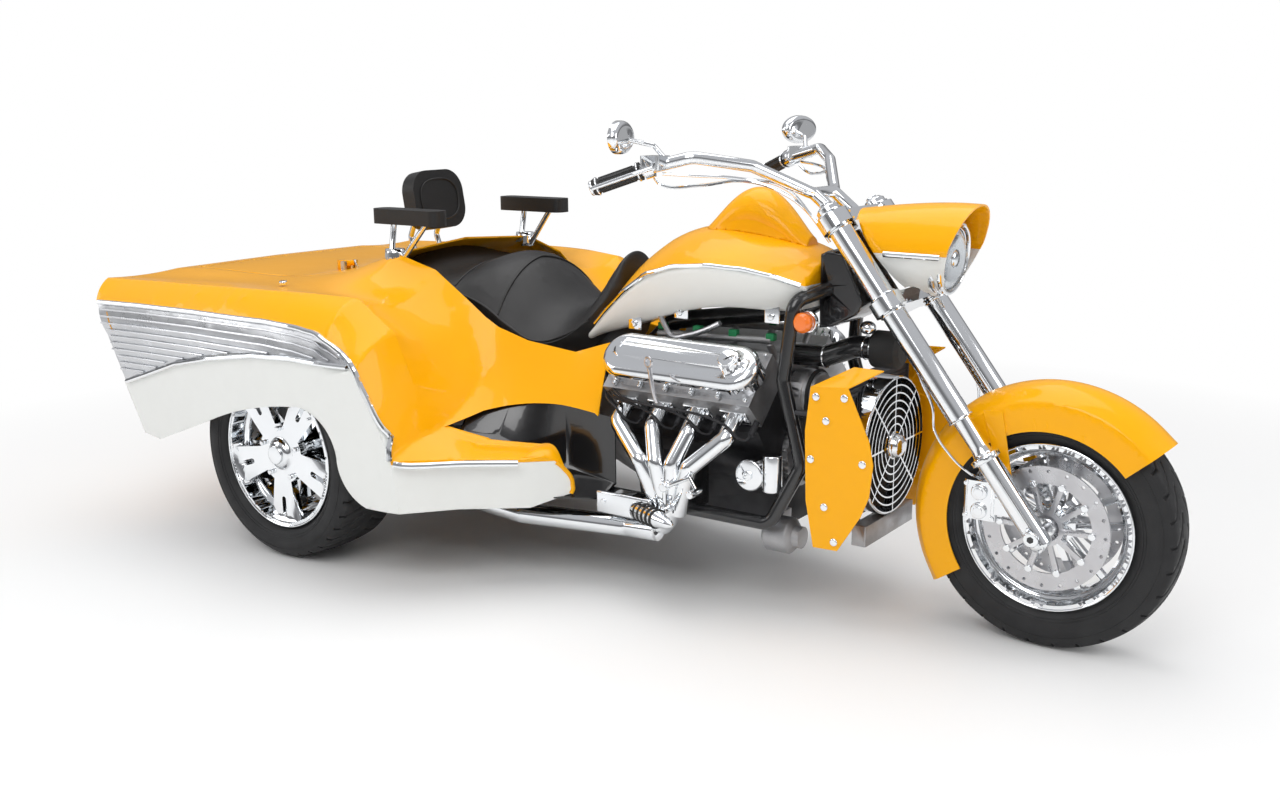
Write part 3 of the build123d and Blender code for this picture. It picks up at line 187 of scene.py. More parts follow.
wear_dark.inputs[mix_second].default_value = dust_tint
wear.links.new(wear_amount.outputs[0], wear_dark.inputs[0])
wear.links.new(wear_in.outputs["Color"], wear_dark.inputs[mix_first])
wear.links.new(wear_dark.outputs[mix_result], wear_out.inputs["Color"])
wear_rough = node(wear, "ShaderNodeMath", 200, -100)
wear_rough.operation = "ADD"
wear.links.new(wear_in.outputs["Roughness"], wear_rough.inputs[0])
wear.links.new(wear_amount.outputs[0], wear_rough.inputs[1])
wear.links.new(wear_rough.outputs[0], wear_out.inputs["Roughness"])
print("nodes in", wear.name, len(wear.nodes))

# %% [markdown]
# ## Materials
# The vehicle shows lacquer, bright plating, rubber, leather, raw castings and lamp plastic. Each could
# have a shader of its own, but they differ mostly in a few numbers. So one function builds a Principled
# shader that the wear group feeds, with a fine bump where the real surface has a grain.

# %% One finish
coat_roughness = 0.03
bump_depth = 0.002


def finish(name, colour, metallic, roughness, coat, bump, scale, worn):
    """A procedural material made of the wear group, a fine bump and a Principled shader."""
    material = bpy.data.materials.new(name)
    material.use_nodes = True
    tree = material.node_tree
    shader = tree.nodes["Principled BSDF"]
    shader.inputs["Metallic"].default_value = metallic
    shader.inputs["Coat Weight"].default_value = coat
    shader.inputs["Coat Roughness"].default_value = coat_roughness
    group = node(tree, "ShaderNodeGroup", -300, 200)
    group.node_tree = wear
    group.inputs["Color"].default_value = (*colour, 1)
    group.inputs["Roughness"].default_value = roughness
    group.inputs["Amount"].default_value = worn
    tree.links.new(group.outputs["Color"], shader.inputs["Base Color"])
    tree.links.new(group.outputs["Roughness"], shader.inputs["Roughness"])
    if bump:
        fine = node(tree, "ShaderNodeGroup", -600, -200)
        fine.node_tree = grain
        fine.inputs["Scale"].default_value = scale
        height = node(tree, "ShaderNodeBump", -300, -200)
        height.inputs["Strength"].default_value = bump
        height.inputs["Distance"].default_value = bump_depth
        tree.links.new(fine.outputs["Value"], height.inputs["Height"])
        tree.links.new(height.outputs["Normal"], shader.inputs["Normal"])
    material.diffuse_color = (*colour, 1)
    return material


print("finish builder", finish.__name__)

# %% [markdown]
# The table gives each finish its numbers. The yellow lacquer gets a weak highlight, because the pale
# studio would wash its colour out, and the headlamp's glass lets light through.

# %% All finishes
paint_highlight = 0.15
glass_bending = 1.2
finishes = (
    # name, colour, metal, roughness, coat, bump, bump scale, wear
    ("tyre_rubber", (0.012, 0.012, 0.013), 0.0, 0.55, 0.0, 0.25, 400, 0.12),
    ("chrome", (0.86, 0.88, 0.9), 1.0, 0.045, 0.0, 0.0, 60, 0.03),
    ("brake_steel", (0.6, 0.6, 0.62), 1.0, 0.24, 0.0, 0.12, 500, 0.1),
    ("frame_black", (0.012, 0.012, 0.013), 0.0, 0.22, 0.6, 0.0, 60, 0.05),
    ("paint_yellow", (1.0, 0.45, 0.0), 0.0, 0.3, 0.35, 0.0, 60, 0.02),
    ("paint_tank", (1.0, 0.45, 0.0), 0.0, 0.3, 0.35, 0.0, 60, 0.02),
    ("paint_white", (0.82, 0.83, 0.80), 0.0, 0.3, 0.9, 0.0, 60, 0.03),
    ("fin_aluminium", (0.66, 0.67, 0.69), 1.0, 0.26, 0.0, 0.1, 300, 0.08),
    ("cast_aluminium", (0.45, 0.45, 0.46), 1.0, 0.4, 0.0, 0.35, 260, 0.2),
    ("engine_iron", (0.03, 0.03, 0.033), 0.4, 0.45, 0.0, 0.35, 260, 0.2),
    ("leather_black", (0.008, 0.0075, 0.0075), 0.0, 0.4, 0.0, 0.3, 700, 0.06),
    ("grip_rubber", (0.02, 0.02, 0.02), 0.0, 0.55, 0.0, 0.2, 500, 0.08),
    ("lamp_clear", (0.8, 0.83, 0.86), 0.85, 0.12, 1.0, 0.0, 60, 0.0),
    ("lamp_red", (0.5, 0.006, 0.004), 0.0, 0.12, 1.0, 0.0, 60, 0.0),
    ("lamp_amber", (0.95, 0.2, 0.01), 0.0, 0.15, 1.0, 0.0, 60, 0.0),
    ("liner_black", (0.01, 0.01, 0.011), 0.0, 0.18, 0.8, 0.0, 60, 0.04),
    ("trunk_lining", (0.03, 0.03, 0.03), 0.0, 0.8, 0.0, 0.4, 500, 0.15),
    ("fan_black", (0.02, 0.02, 0.02), 0.0, 0.4, 0.0, 0.0, 60, 0.1),
    ("radiator_core", (0.05, 0.05, 0.055), 0.6, 0.45, 0.0, 0.0, 60, 0.15),
    ("filter_black", (0.02, 0.02, 0.02), 0.0, 0.7, 0.0, 0.4, 300, 0.1),
    ("mirror_glass", (0.9, 0.92, 0.93), 1.0, 0.01, 0.0, 0.0, 60, 0.0),
    ("lens_glass", (0.95, 0.97, 0.98), 0.0, 0.03, 0.0, 0.0, 60, 0.0),
    ("connector_green", (0.01, 0.24, 0.08), 0.0, 0.4, 0.0, 0.0, 60, 0.05),
    ("floor_paper", (0.92, 0.92, 0.91), 0.0, 0.5, 0.0, 0.0, 60, 0.0),
)
look = {row[0]: finish(*row) for row in finishes}
for name in ("paint_yellow", "paint_tank"):
    paint_shader = look[name].node_tree.nodes["Principled BSDF"]
    paint_shader.inputs["Specular IOR Level"].default_value = paint_highlight
glass_shader = look["lens_glass"].node_tree.nodes["Principled BSDF"]
glass_shader.inputs["Transmission Weight"].default_value = 1.0
glass_shader.inputs["IOR"].default_value = glass_bending
print("finishes", len(look))

# %% [markdown]
# The tank and the headlamp nacelle are yellow above a bright trim line and white below it. Their faces
# could be given two materials, but the edges of the faces don't follow that line. So a Float Curve
# node draws the line, and the paint turns white where a point is lower than the curve.

# %% Two-tone paint
curve_top = 2.0


def math_node(tree, operation, first, second=None):
    """A Math node fed by sockets or plain numbers."""
    made = tree.nodes.new("ShaderNodeMath")
    made.operation = operation
    for slot_index, value in enumerate((first, second)):
        if value is None:
            continue
        if isinstance(value, (int, float)):
            made.inputs[slot_index].default_value = value
        else:
            tree.links.new(value, made.inputs[slot_index])
    return made.outputs[0]


def coordinates(tree):
    """X, Y and Z sockets of the Object coordinates."""
    place = tree.nodes.new("ShaderNodeTexCoord")
    parts = tree.nodes.new("ShaderNodeSeparateXYZ")
    tree.links.new(place.outputs["Object"], parts.inputs[0])
    return parts.outputs["X"], parts.outputs["Y"], parts.outputs["Z"]


def two_tone(name, base, under, line):
    """A copy of a paint that turns to the under colour below a line of (x, z) points."""
    material = look[base].copy()
    material.name = name
    tree = material.node_tree
    x, y, z = coordinates(tree)
    low, high = line[0][0], line[-1][0]
    curve = tree.nodes.new("ShaderNodeFloatCurve")
    graph = curve.mapping.curves[0]
    for spot in line[1:-1]:
        graph.points.new(0, 0)
    for spot, (px, pz) in zip(graph.points, line):
        spot.location = ((px - low) / (high - low), pz / curve_top)
    curve.mapping.update()
    share = math_node(tree, "DIVIDE", math_node(tree, "SUBTRACT", x, low), high - low)
    tree.links.new(share, curve.inputs["Value"])
    height = math_node(tree, "MULTIPLY", curve.outputs["Value"], curve_top)
    below = math_node(tree, "LESS_THAN", z, height)
    blend = tree.nodes.new("ShaderNodeMix")
    blend.data_type = "RGBA"
    group = next(n for n in tree.nodes if n.type == "GROUP" and n.node_tree == wear)
    blend.inputs[mix_first].default_value = group.inputs["Color"].default_value
    blend.inputs[mix_second].default_value = (*under, 1)
    tree.links.new(below, blend.inputs[0])
    tree.links.new(blend.outputs[mix_result], group.inputs["Color"])
    return material


print("two-tone builder", two_tone.__name__)

# %% [markdown]
# A line is a row of points, in metres ahead of the rear axle and above the floor. The bright trims
# later lie on the same rows. The paint's own line goes on a little past each end of its trim.

# %% Colour breaks of the tank and the nacelle
tank_trim = (
    # ahead of the rear axle, height
    (0.83, 0.728), (0.878, 0.773), (0.95, 0.833), (1.037, 0.89), (1.137, 0.919), (1.251, 0.929),
    (1.36, 0.925), (1.45, 0.91), (1.516, 0.891),
)
lamp_trim = ((1.6, 0.979), (1.714, 0.98), (1.796, 0.98), (1.9, 0.98))
tank_line = [(ahead(d), z) for d, z in ((0.78, 0.69), *tank_trim, (1.53, 0.885))]
lamp_line = [(ahead(d), z) for d, z in ((1.5, 0.978), *lamp_trim, (1.97, 0.98))]
white = (0.82, 0.83, 0.80)
look["tank_two_tone"] = two_tone("tank_two_tone", "paint_tank", white, tank_line)
look["lamp_two_tone"] = two_tone("lamp_two_tone", "paint_tank", white, lamp_line)
print("points on the tank's colour break", len(tank_line), "and the nacelle's", len(lamp_line))

# %% [markdown]
# ## Smooth skins for the CAD pieces
# The CAD meshes are loose triangles, which would look faceted. Each one is copied, its double points
# are merged, and its faces are smoothed wherever they meet at a shallow angle. The copy stands in
# for the CAD node and rides on the same body.

# %% Slots and bodies
slot_of = {part["node"]: part["material_slot"] for part in frame["record"]["subparts"]}
body_of = {name: body for body, names in frame["record"]["behaviour"]["bodies"].items() for name in names}
special = {
    "fuel_tank": "tank_two_tone",
    "headlamp_nacelle": "lamp_two_tone",
}
print("nodes with a slot", len(slot_of), "and with a body", len(body_of))

# %% [markdown]
# Long thin triangles show as streaks in glossy paint. Their long edges are cut, and a Laplacian smooth
# eases every point that isn't on a sharp edge. A subdivision surface could do it too, but it would
# round off the folds that give the body its lines.

# %% Softening
cut_rounds = 4
flat_degrees = 3
crease_degrees = 22
easing_step = 1.2


def select_only(obj):
    """Makes one object selected and active."""
    bpy.ops.object.select_all(action="DESELECT")
    obj.select_set(True)
    bpy.context.view_layer.objects.active = obj


def soften(obj, longest, rounds):
    """Cuts long edges, then eases the surface everywhere but along its sharp edges."""
    mesh = bmesh.new()
    mesh.from_mesh(obj.data)
    for _ in range(cut_rounds):
        long_edges = [edge for edge in mesh.edges if edge.calc_length() > longest]
        if not long_edges:
            break
        bmesh.ops.subdivide_edges(mesh, edges=long_edges, cuts=1)
        bmesh.ops.triangulate(mesh, faces=[face for face in mesh.faces if len(face.verts) > 3])
        flat = [
            edge for edge in mesh.edges
            if edge.is_manifold and edge.calc_face_angle() < radians(flat_degrees)
        ]
        bmesh.ops.beautify_fill(mesh, faces=mesh.faces, edges=flat, method="ANGLE")
    mesh.verts.index_update()
    sharp = set()
    for edge in mesh.edges:
        if not edge.is_manifold or edge.calc_face_angle() > radians(crease_degrees):
            sharp.update(vert.index for vert in edge.verts)
    free = [vert.index for vert in mesh.verts if vert.index not in sharp]
    mesh.to_mesh(obj.data)
    mesh.free()
    obj.vertex_groups.new(name="free").add(free, 1.0, "REPLACE")
    ease = obj.modifiers.new("ease", "LAPLACIANSMOOTH")
    ease.iterations = rounds
    ease.lambda_factor = easing_step
    ease.lambda_border = 0.0
    ease.use_volume_preserve = True
    ease.vertex_group = "free"
    bpy.ops.object.modifier_apply(modifier="ease")


print("edges are left alone above", crease_degrees, "degrees")

# %% [markdown]
# The first table says how finely a panel is cut and how many rounds ease it. The pads have their edges
# rounded before that, because a cushion has none that are sharp. Normals weighted by the area of the
# faces keep a broad face flat beside a rounded edge, where plain averages would shade it like a pillow.

# %% Skins
pad_edge_degrees = 40
skin_smooth_degrees = 34
eased = {
    # node: longest edge, rounds of easing
    "body_shell": (0.022, 14),
    "trunk_lid": (0.022, 14),
    "lower_panels": (0.022, 10),
    "fin_panels": (0.022, 10),
    "front_fender": (0.02, 6),
    "fuel_tank": (0.016, 8),
    "console": (0.012, 8),
    "headlamp_nacelle": (0.016, 6),
    "seat": (0.018, 10),
}
rounded = {"backrest": 0.02, "armrest_pads": 0.014, "seat": 0.012}
skins = {}
for name, source in frame["nodes"].items():
    copy = bpy.data.objects.new(f"{name}_skin", source.data.copy())
    bpy.context.collection.objects.link(copy)
    copy.data.materials.clear()
    copy.data.materials.append(look[special.get(name, slot_of[name])])
    select_only(copy)
    bpy.ops.object.mode_set(mode="EDIT")
    bpy.ops.mesh.select_all(action="SELECT")
    bpy.ops.mesh.remove_doubles(threshold=0.00002)
    bpy.ops.object.mode_set(mode="OBJECT")
    if name in rounded:
        soft = copy.modifiers.new("edge", "BEVEL")
        soft.width = rounded[name]
        soft.segments = 5
        soft.limit_method = "ANGLE"
        soft.angle_limit = radians(pad_edge_degrees)
        bpy.ops.object.modifier_apply(modifier="edge")
    if name in eased:
        soften(copy, *eased[name])
    bpy.ops.object.shade_smooth_by_angle(angle=radians(skin_smooth_degrees))
    weigh = copy.modifiers.new("weigh", "WEIGHTED_NORMAL")
    weigh.mode = "FACE_AREA"
    weigh.weight = 100
    weigh.keep_sharp = True
    bpy.ops.object.modifier_apply(modifier="weigh")
    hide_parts(name)
    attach(copy, body_of[name])
    skins[name] = copy
print("skins", len(skins), "softened", len(eased), "faces", sum(len(s.data.polygons) for s in skins.values()))

# %% [markdown]
# ## Helpers for added parts
# Small parts are made at their own place on the vehicle. `joined` makes one object of many like
# ones, and `place` finishes it: its place goes into the mesh, and it gets a name, a finish and the
# body that it rides on.

# %% Placing and joining
part_smooth_degrees = 35


def place(obj, name, material, body, smooth=True):
    """Finishes an added mesh object."""
    select_only(obj)
    bpy.ops.object.transform_apply(location=True, rotation=True, scale=True)
    obj.name = name.replace(" ", "_")
    obj.data.materials.clear()
    obj.data.materials.append(look[material])
    if smooth:
        bpy.ops.object.shade_smooth_by_angle(angle=radians(part_smooth_degrees))
    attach(obj, body)
    return obj


def joined(objects):
    """One object made of several."""
    bpy.ops.object.select_all(action="DESELECT")
    for one in objects:
        one.select_set(True)
    bpy.context.view_layer.objects.active = objects[0]
    bpy.ops.object.join()
    return bpy.context.view_layer.objects.active


# %% [markdown]
# Pipes, cables and trims are round along a line. A row of cylinders would show its joints, and a
# bevelled curve bends smoothly through a few points, so `wire` draws a curve and makes it a mesh.

# %% Round bars
def wire(points, radius, smooth=True, closed=False, resolution=3):
    """A round bar through points, as a mesh."""
    data = bpy.data.curves.new("wire", "CURVE")
    data.dimensions = "3D"
    data.bevel_depth = radius
    data.bevel_resolution = resolution
    data.use_fill_caps = True
    spline = data.splines.new("BEZIER" if smooth else "POLY")
    spots = spline.bezier_points if smooth else spline.points
    spots.add(len(points) - 1)
    for spot, point in zip(spots, points):
        if smooth:
            spot.co = point
            spot.handle_left_type = spot.handle_right_type = "AUTO"
        else:
            spot.co = (*point, 1)
    spline.use_cyclic_u = closed
    spline.resolution_u = 8
    obj = bpy.data.objects.new("wire", data)
    bpy.context.collection.objects.link(obj)
    select_only(obj)
    bpy.ops.object.convert(target="MESH")
    return bpy.context.view_layer.objects.active


print("bar helper", wire.__name__)

# %% [markdown]
# `barrel`, `ring`, `ball` and `box` each start from a primitive. The edges of real machined parts are
# broken and catch the light, so barrels and boxes can have a small bevel.

# %% Barrels, rings, balls and boxes
def barrel(start, end, radius, sides=32, edge=0.0):
    """A cylinder between two points, with a bevelled rim if edge is set."""
    start, end = Vector(start), Vector(end)
    way = end - start
    bpy.ops.mesh.primitive_cylinder_add(vertices=sides, radius=radius, depth=way.length)
    obj = bpy.context.object
    obj.rotation_mode = "QUATERNION"
    obj.rotation_quaternion = way.to_track_quat("Z", "Y")
    obj.location = (start + end) / 2
    if edge:
        soft = obj.modifiers.new("edge", "BEVEL")
        soft.width = edge
        soft.segments = 3
        soft.limit_method = "ANGLE"
        bpy.ops.object.modifier_apply(modifier="edge")
    return obj


def ring(centre, axis, radius, thickness, sides=48):
    """A torus round an axis."""
    bpy.ops.mesh.primitive_torus_add(
        major_radius=radius, minor_radius=thickness, major_segments=sides, minor_segments=10
    )
    obj = bpy.context.object
    obj.rotation_mode = "QUATERNION"
    obj.rotation_quaternion = Vector(axis).to_track_quat("Z", "Y")
    obj.location = centre
    return obj


def ball(centre, size, segments=32):
    """A sphere scaled to a size in X, Y and Z."""
    bpy.ops.mesh.primitive_uv_sphere_add(segments=segments, ring_count=segments // 2, radius=1)
    obj = bpy.context.object
    obj.scale = size
    obj.location = centre
    return obj


def box(centre, size, edge=0.003, turn=(0, 0, 0)):
    """A box with bevelled edges."""
    bpy.ops.mesh.primitive_cube_add(size=1)
    obj = bpy.context.object
    obj.scale = size
    bpy.ops.object.transform_apply(location=False, rotation=False, scale=True)
    obj.location = centre
    obj.rotation_euler = turn
    soft = obj.modifiers.new("edge", "BEVEL")
    soft.width = edge
    soft.segments = 3
    bpy.ops.object.modifier_apply(modifier="edge")
    return obj


print("shape helpers", barrel.__name__, ring.__name__, ball.__name__, box.__name__)

# %% [markdown]
# Trims have to lie on the bodywork. `skin_point` sends a ray at it from the side and gives the point
# that it meets. `moulding` lays a wire on such points on both sides, after evening out their reach,
# and `dense` adds points to a line so that the wire follows each curve.

# %% Points on the bodywork
ray_start = 1.6
evening_rounds = 2


def tree_of(names):
    """A search tree over the CAD meshes of some nodes."""
    points, faces = [], []
    for name in names:
        mesh = frame["nodes"][name].data
        first = len(points)
        points += [v.co.copy() for v in mesh.vertices]
        faces += [tuple(first + i for i in p.vertices) for p in mesh.polygons]
    return BVHTree.FromPolygons(points, faces)


def skin_point(tree, x, z, side, lift):
    """Where a ray from the side meets a surface, lifted off it a little."""
    hit, normal = tree.ray_cast(Vector((x, side * ray_start, z)), Vector((0, -side, 0)))[:2]
    if hit is None:
        return None
    if normal.y * side < 0:
        normal = -normal
    return hit + normal * lift


def moulding(names, line, radius, body, name, lift):
    """A bright strip along a line of (ahead, z) points on both sides of some nodes."""
    tree = tree_of(names)
    strips = []
    for side in (-1, 1):
        points = [skin_point(tree, ahead(d), z, side, lift) for d, z in line]
        points = [p for p in points if p is not None]
        for _ in range(evening_rounds):
            outer = [max(abs(p.y) for p in points[max(0, i - 1):i + 2]) for i in range(len(points))]
            for p, reach in zip(points, outer):
                p.y = side * (abs(p.y) + reach) / 2
        if len(points) > 1:
            strips.append(wire(points, radius, resolution=3))
    return place(joined(strips), name, "chrome", body)


def dense(line, step=0.03):
    """More points along a line of (ahead, z) points."""
    made = [line[0]]
    for (x0, z0), (x1, z1) in zip(line, line[1:]):
        count = max(1, int(((x1 - x0) ** 2 + (z1 - z0) ** 2) ** 0.5 / step))
        made += [(x0 + (x1 - x0) * i / count, z0 + (z1 - z0) * i / count) for i in range(1, count + 1)]
    return made


print("trim helpers", moulding.__name__, dense.__name__)

# %% [markdown]
# ## Bright mouldings and fin ribs
# On the real vehicle a pressed bright strip covers each colour break. The lines of the strips are rows
# of points, ahead of the rear axle and above the floor, as for the tank.

# %% Trim lines of the body
body_trim = (
    (-0.757, 0.742), (-0.5, 0.75), (-0.22, 0.755), (0.1, 0.753), (0.225, 0.745), (0.3, 0.733),
    (0.36, 0.705), (0.4, 0.68), (0.44, 0.645), (0.478, 0.568), (0.5, 0.52), (0.528, 0.461),
    (0.543, 0.4),
)
sill_trim = ((0.55, 0.39), (0.65, 0.386), (0.75, 0.384), (0.81, 0.382))
fin_trim = (
    (-0.666, 0.482), (-0.5, 0.533), (-0.339, 0.584), (-0.164, 0.62), (0.046, 0.652), (0.22, 0.66),
    (0.42, 0.652),
)
body_nodes = ("body_shell", "fin_panels", "lower_panels", "trunk_lid")
print("points on the body, sill and fin lines", len(body_trim), len(sill_trim), len(fin_trim))

# %% Trim strips
strips = [
    moulding(body_nodes, dense(body_trim), 0.0085, "chassis", "upper body trim", 0.004),
    moulding(body_nodes, dense(sill_trim), 0.0095, "chassis", "sill trim", 0.004),
    moulding(body_nodes, dense(fin_trim), 0.0075, "chassis", "fin trim", 0.003),
    moulding(("fuel_tank",), dense(tank_trim), 0.0065, "chassis", "tank trim", 0.0035),
    moulding(("headlamp_nacelle",), dense(lamp_trim), 0.0075, "steering", "nacelle trim", 0.004),
]
print("trim strips", len(strips))

# %% [markdown]
# The fin is a pressed sheet of fine ribs. A bump could fake them, but they stand proud enough to show
# against the light, so each is a thin wire. They run parallel to the fin's upper strip and stop just
# above its lower one.

# %% Fin ribs
rib_step = 0.0215
rib_radius = 0.0032
rib_clearance = 0.008
rib_first = -0.74
rib_pitch = 0.026
rib_count = 11
rib_steps = 44


def height_on(line, distance):
    """The height of a trim line at a distance ahead of the rear axle."""
    for (x0, z0), (x1, z1) in zip(line, line[1:]):
        if x0 <= distance <= x1:
            return z0 + (z1 - z0) * (distance - x0) / (x1 - x0)
    return line[0][1] if distance < line[0][0] else line[-1][1]


rib_lines = []
for rib in range(1, rib_count + 1):
    line = []
    for step in range(rib_steps):
        distance = rib_first + rib_pitch * step
        height = height_on(body_trim, distance) - rib * rib_step
        if height > height_on(fin_trim, distance) + rib_clearance:
            line.append((distance, height))
    if len(line) > 3:
        rib_lines.append(line)
fin_tree = tree_of(("fin_panels",))
rib_wires = []
for line in rib_lines:
    for side in (-1, 1):
        points = [skin_point(fin_tree, ahead(d), z, side, 0.0) for d, z in line]
        points = [point for point in points if point is not None]
        if len(points) > 3:
            rib_wires.append(wire(points, rib_radius, resolution=1))
place(joined(rib_wires), "fin ribs", "fin_aluminium", "chassis")
print("ribs", len(rib_wires))

# %% [markdown]
# The lower panel ends in a rolled lip at the footwell. Its edge is found by moving a ray back from the
# front, a little at a time, until it meets the panel.

# %% Footwell lips
lip_radius = 0.0065
lip_front = 0.93
lip_back = 0.7
lip_search = 0.002
panel_tree = tree_of(("lower_panels",))
lips = []
for side in (-1, 1):
    points = []
    for step in range(9):
        height = 0.372 - 0.012 * step
        reach = lip_front
        while reach > lip_back and skin_point(panel_tree, ahead(reach), height, side, 0.0) is None:
            reach -= lip_search
        edge = skin_point(panel_tree, ahead(reach), height, side, 0.0)
        if edge is not None:
            points.append(edge)
    lips.append(wire(points, lip_radius, resolution=3))
place(joined(lips), "footwell lips", "paint_yellow", "chassis")
print("points on each lip", len(points))

# %% [markdown]
# The bodywork turns down over the front of the footwell's ledge in a soft nose. It is a small patch of
# faces between an inner and an outer line, raised in the middle, subdivided and given the thickness of
# a panel. It covers the CAD ledge, whose front edge is rough.

# %% Footwell ledge noses
nose_thickness = 0.004
ledge_columns = 9
ledge_rows = (
    # ahead, inner y and z, outer y and z, crown
    (0.785, 0.385, 0.405, 0.490, 0.384, -0.004),
    (0.800, 0.372, 0.408, 0.478, 0.388, 0.004),
    (0.815, 0.368, 0.409, 0.465, 0.391, 0.005),
    (0.830, 0.368, 0.405, 0.452, 0.391, 0.006),
    (0.845, 0.374, 0.398, 0.437, 0.389, 0.006),
    (0.860, 0.381, 0.386, 0.420, 0.383, 0.004),
    (0.872, 0.386, 0.370, 0.405, 0.370, 0.001),
    (0.880, 0.386, 0.356, 0.394, 0.356, 0.0),
)
noses = []
for side in (-1, 1):
    mesh = bmesh.new()
    grid = []
    for d, inner_y, inner_z, outer_y, outer_z, crown in ledge_rows:
        row = []
        for column in range(ledge_columns):
            share = column / (ledge_columns - 1)
            y = inner_y + (outer_y - inner_y) * share
            z = inner_z + (outer_z - inner_z) * share + crown * sin(pi * share)
            row.append(mesh.verts.new((ahead(d), side * y, z)))
        grid.append(row)
    for first, second in zip(grid, grid[1:]):
        for column in range(ledge_columns - 1):
            mesh.faces.new((first[column], first[column + 1], second[column + 1], second[column]))
    bmesh.ops.recalc_face_normals(mesh, faces=mesh.faces)
    data = bpy.data.meshes.new("nose")
    mesh.to_mesh(data)
    mesh.free()
    nose = bpy.data.objects.new("nose", data)
    bpy.context.collection.objects.link(nose)
    select_only(nose)
    smooth = nose.modifiers.new("smooth", "SUBSURF")
    smooth.levels = 2
    bpy.ops.object.modifier_apply(modifier="smooth")
    thick = nose.modifiers.new("thick", "SOLIDIFY")
    thick.thickness = nose_thickness
    thick.offset = 0
    bpy.ops.object.modifier_apply(modifier="thick")
    noses.append(nose)
place(joined(noses), "footwell ledge noses", "paint_yellow", "chassis")
print("ledge noses", len(noses))

# %% [markdown]
# ## Front wheel and brakes
# A bright rim has a rolled bead at each edge, and small bobbins tie a floating brake disc to its
# carrier. Both are round, so rings and barrels make them.

# %% Front rim beads and bobbins
bead_half = 0.0623
bobbin_count = 10
bobbin_radius = 0.116
front_parts = [
    ring(front_axle + Vector((0, side * bead_half, 0)), (0, 1, 0), 0.2135, 0.0032, 72)
    for side in (-1, 1)
]
for side in (-1, 1):
    for turn in range(bobbin_count):
        angle = 2 * pi * turn / bobbin_count
        around = Vector((cos(angle) * bobbin_radius, 0, sin(angle) * bobbin_radius))
        spot = front_axle + around
        out = Vector((0, side, 0))
        front_parts.append(barrel(spot + out * 0.064, spot + out * 0.073, 0.0095, 16, 0.0015))
place(joined(front_parts), "front rim beads and bobbins", "chrome", "front_wheel")
print("beads and bobbins", len(front_parts))

# %% [markdown]
# ## Tyre tread
# A tyre's grooves let water out, and they slant from the shoulder toward the middle. A bump leaves the
# outline smooth, which shows at the tyre's edge, so the grooves are cut. Each cutter is a wire laid on
# the tread. The wires are welded and joined, and one exact boolean takes them out of the tyre.

# %% Cutting a tread
groove_steps = 4
groove_curl = 1.5
tread_ray = 0.4


def cut_tread(node_name, axle, count, outer, inner, sweep, width):
    """Cuts slanting grooves from each shoulder of a tyre toward its middle line."""
    tree = tree_of((node_name,))
    cutters = []
    for side in (-1, 1):
        for groove in range(count):
            start = 2 * pi * (groove + (0.5 if side > 0 else 0)) / count
            points = []
            for step in range(groove_steps + 1):
                share = step / groove_steps
                angle = start + radians(sweep) * share ** groove_curl
                away = Vector((cos(angle), 0, sin(angle)))
                middle = axle + Vector((0, side * (outer + (inner - outer) * share), 0))
                hit = tree.ray_cast(middle + away * tread_ray, -away)[0]
                points.append(hit)
            cutters.append(wire(points, width, resolution=1))
    tool = joined(cutters)
    select_only(tool)
    bpy.ops.object.mode_set(mode="EDIT")
    bpy.ops.mesh.select_all(action="SELECT")
    bpy.ops.mesh.remove_doubles(threshold=0.00001)
    bpy.ops.mesh.normals_make_consistent(inside=False)
    bpy.ops.object.mode_set(mode="OBJECT")
    tyre = skins[node_name]
    before = len(tyre.data.polygons)
    select_only(tyre)
    groove_cut = tyre.modifiers.new("grooves", "BOOLEAN")
    groove_cut.operation = "DIFFERENCE"
    groove_cut.solver = "EXACT"
    groove_cut.object = tool
    bpy.ops.object.modifier_apply(modifier="grooves")
    bpy.data.objects.remove(tool)
    print(node_name, "faces before and after the grooves", before, len(tyre.data.polygons))


print("tread cutter", cut_tread.__name__)

# %% [markdown]
# The front tyre is narrow, so its grooves start nearer the middle than the rear ones do. Fine raised
# rings run round its wall, as the mould leaves them.

# %% Front tyre
wall_line = 0.0011
cut_tread("front_tyre", front_axle, count=30, outer=0.064, inner=0.014, sweep=15, width=0.0036)
tyre_tree = tree_of(("front_tyre",))
wall_rings = []
for side in (-1, 1):
    for radius in (0.236, 0.243, 0.284):
        spot = skin_point(tyre_tree, front_axle.x + radius, front_axle.z, side, 0.0002)
        centre = front_axle + Vector((0, spot.y, 0))
        wall_rings.append(ring(centre, (0, 1, 0), radius, wall_line, 96))
place(joined(wall_rings), "front tyre wall lines", "tyre_rubber", "front_wheel")
print("front wall lines", len(wall_rings))
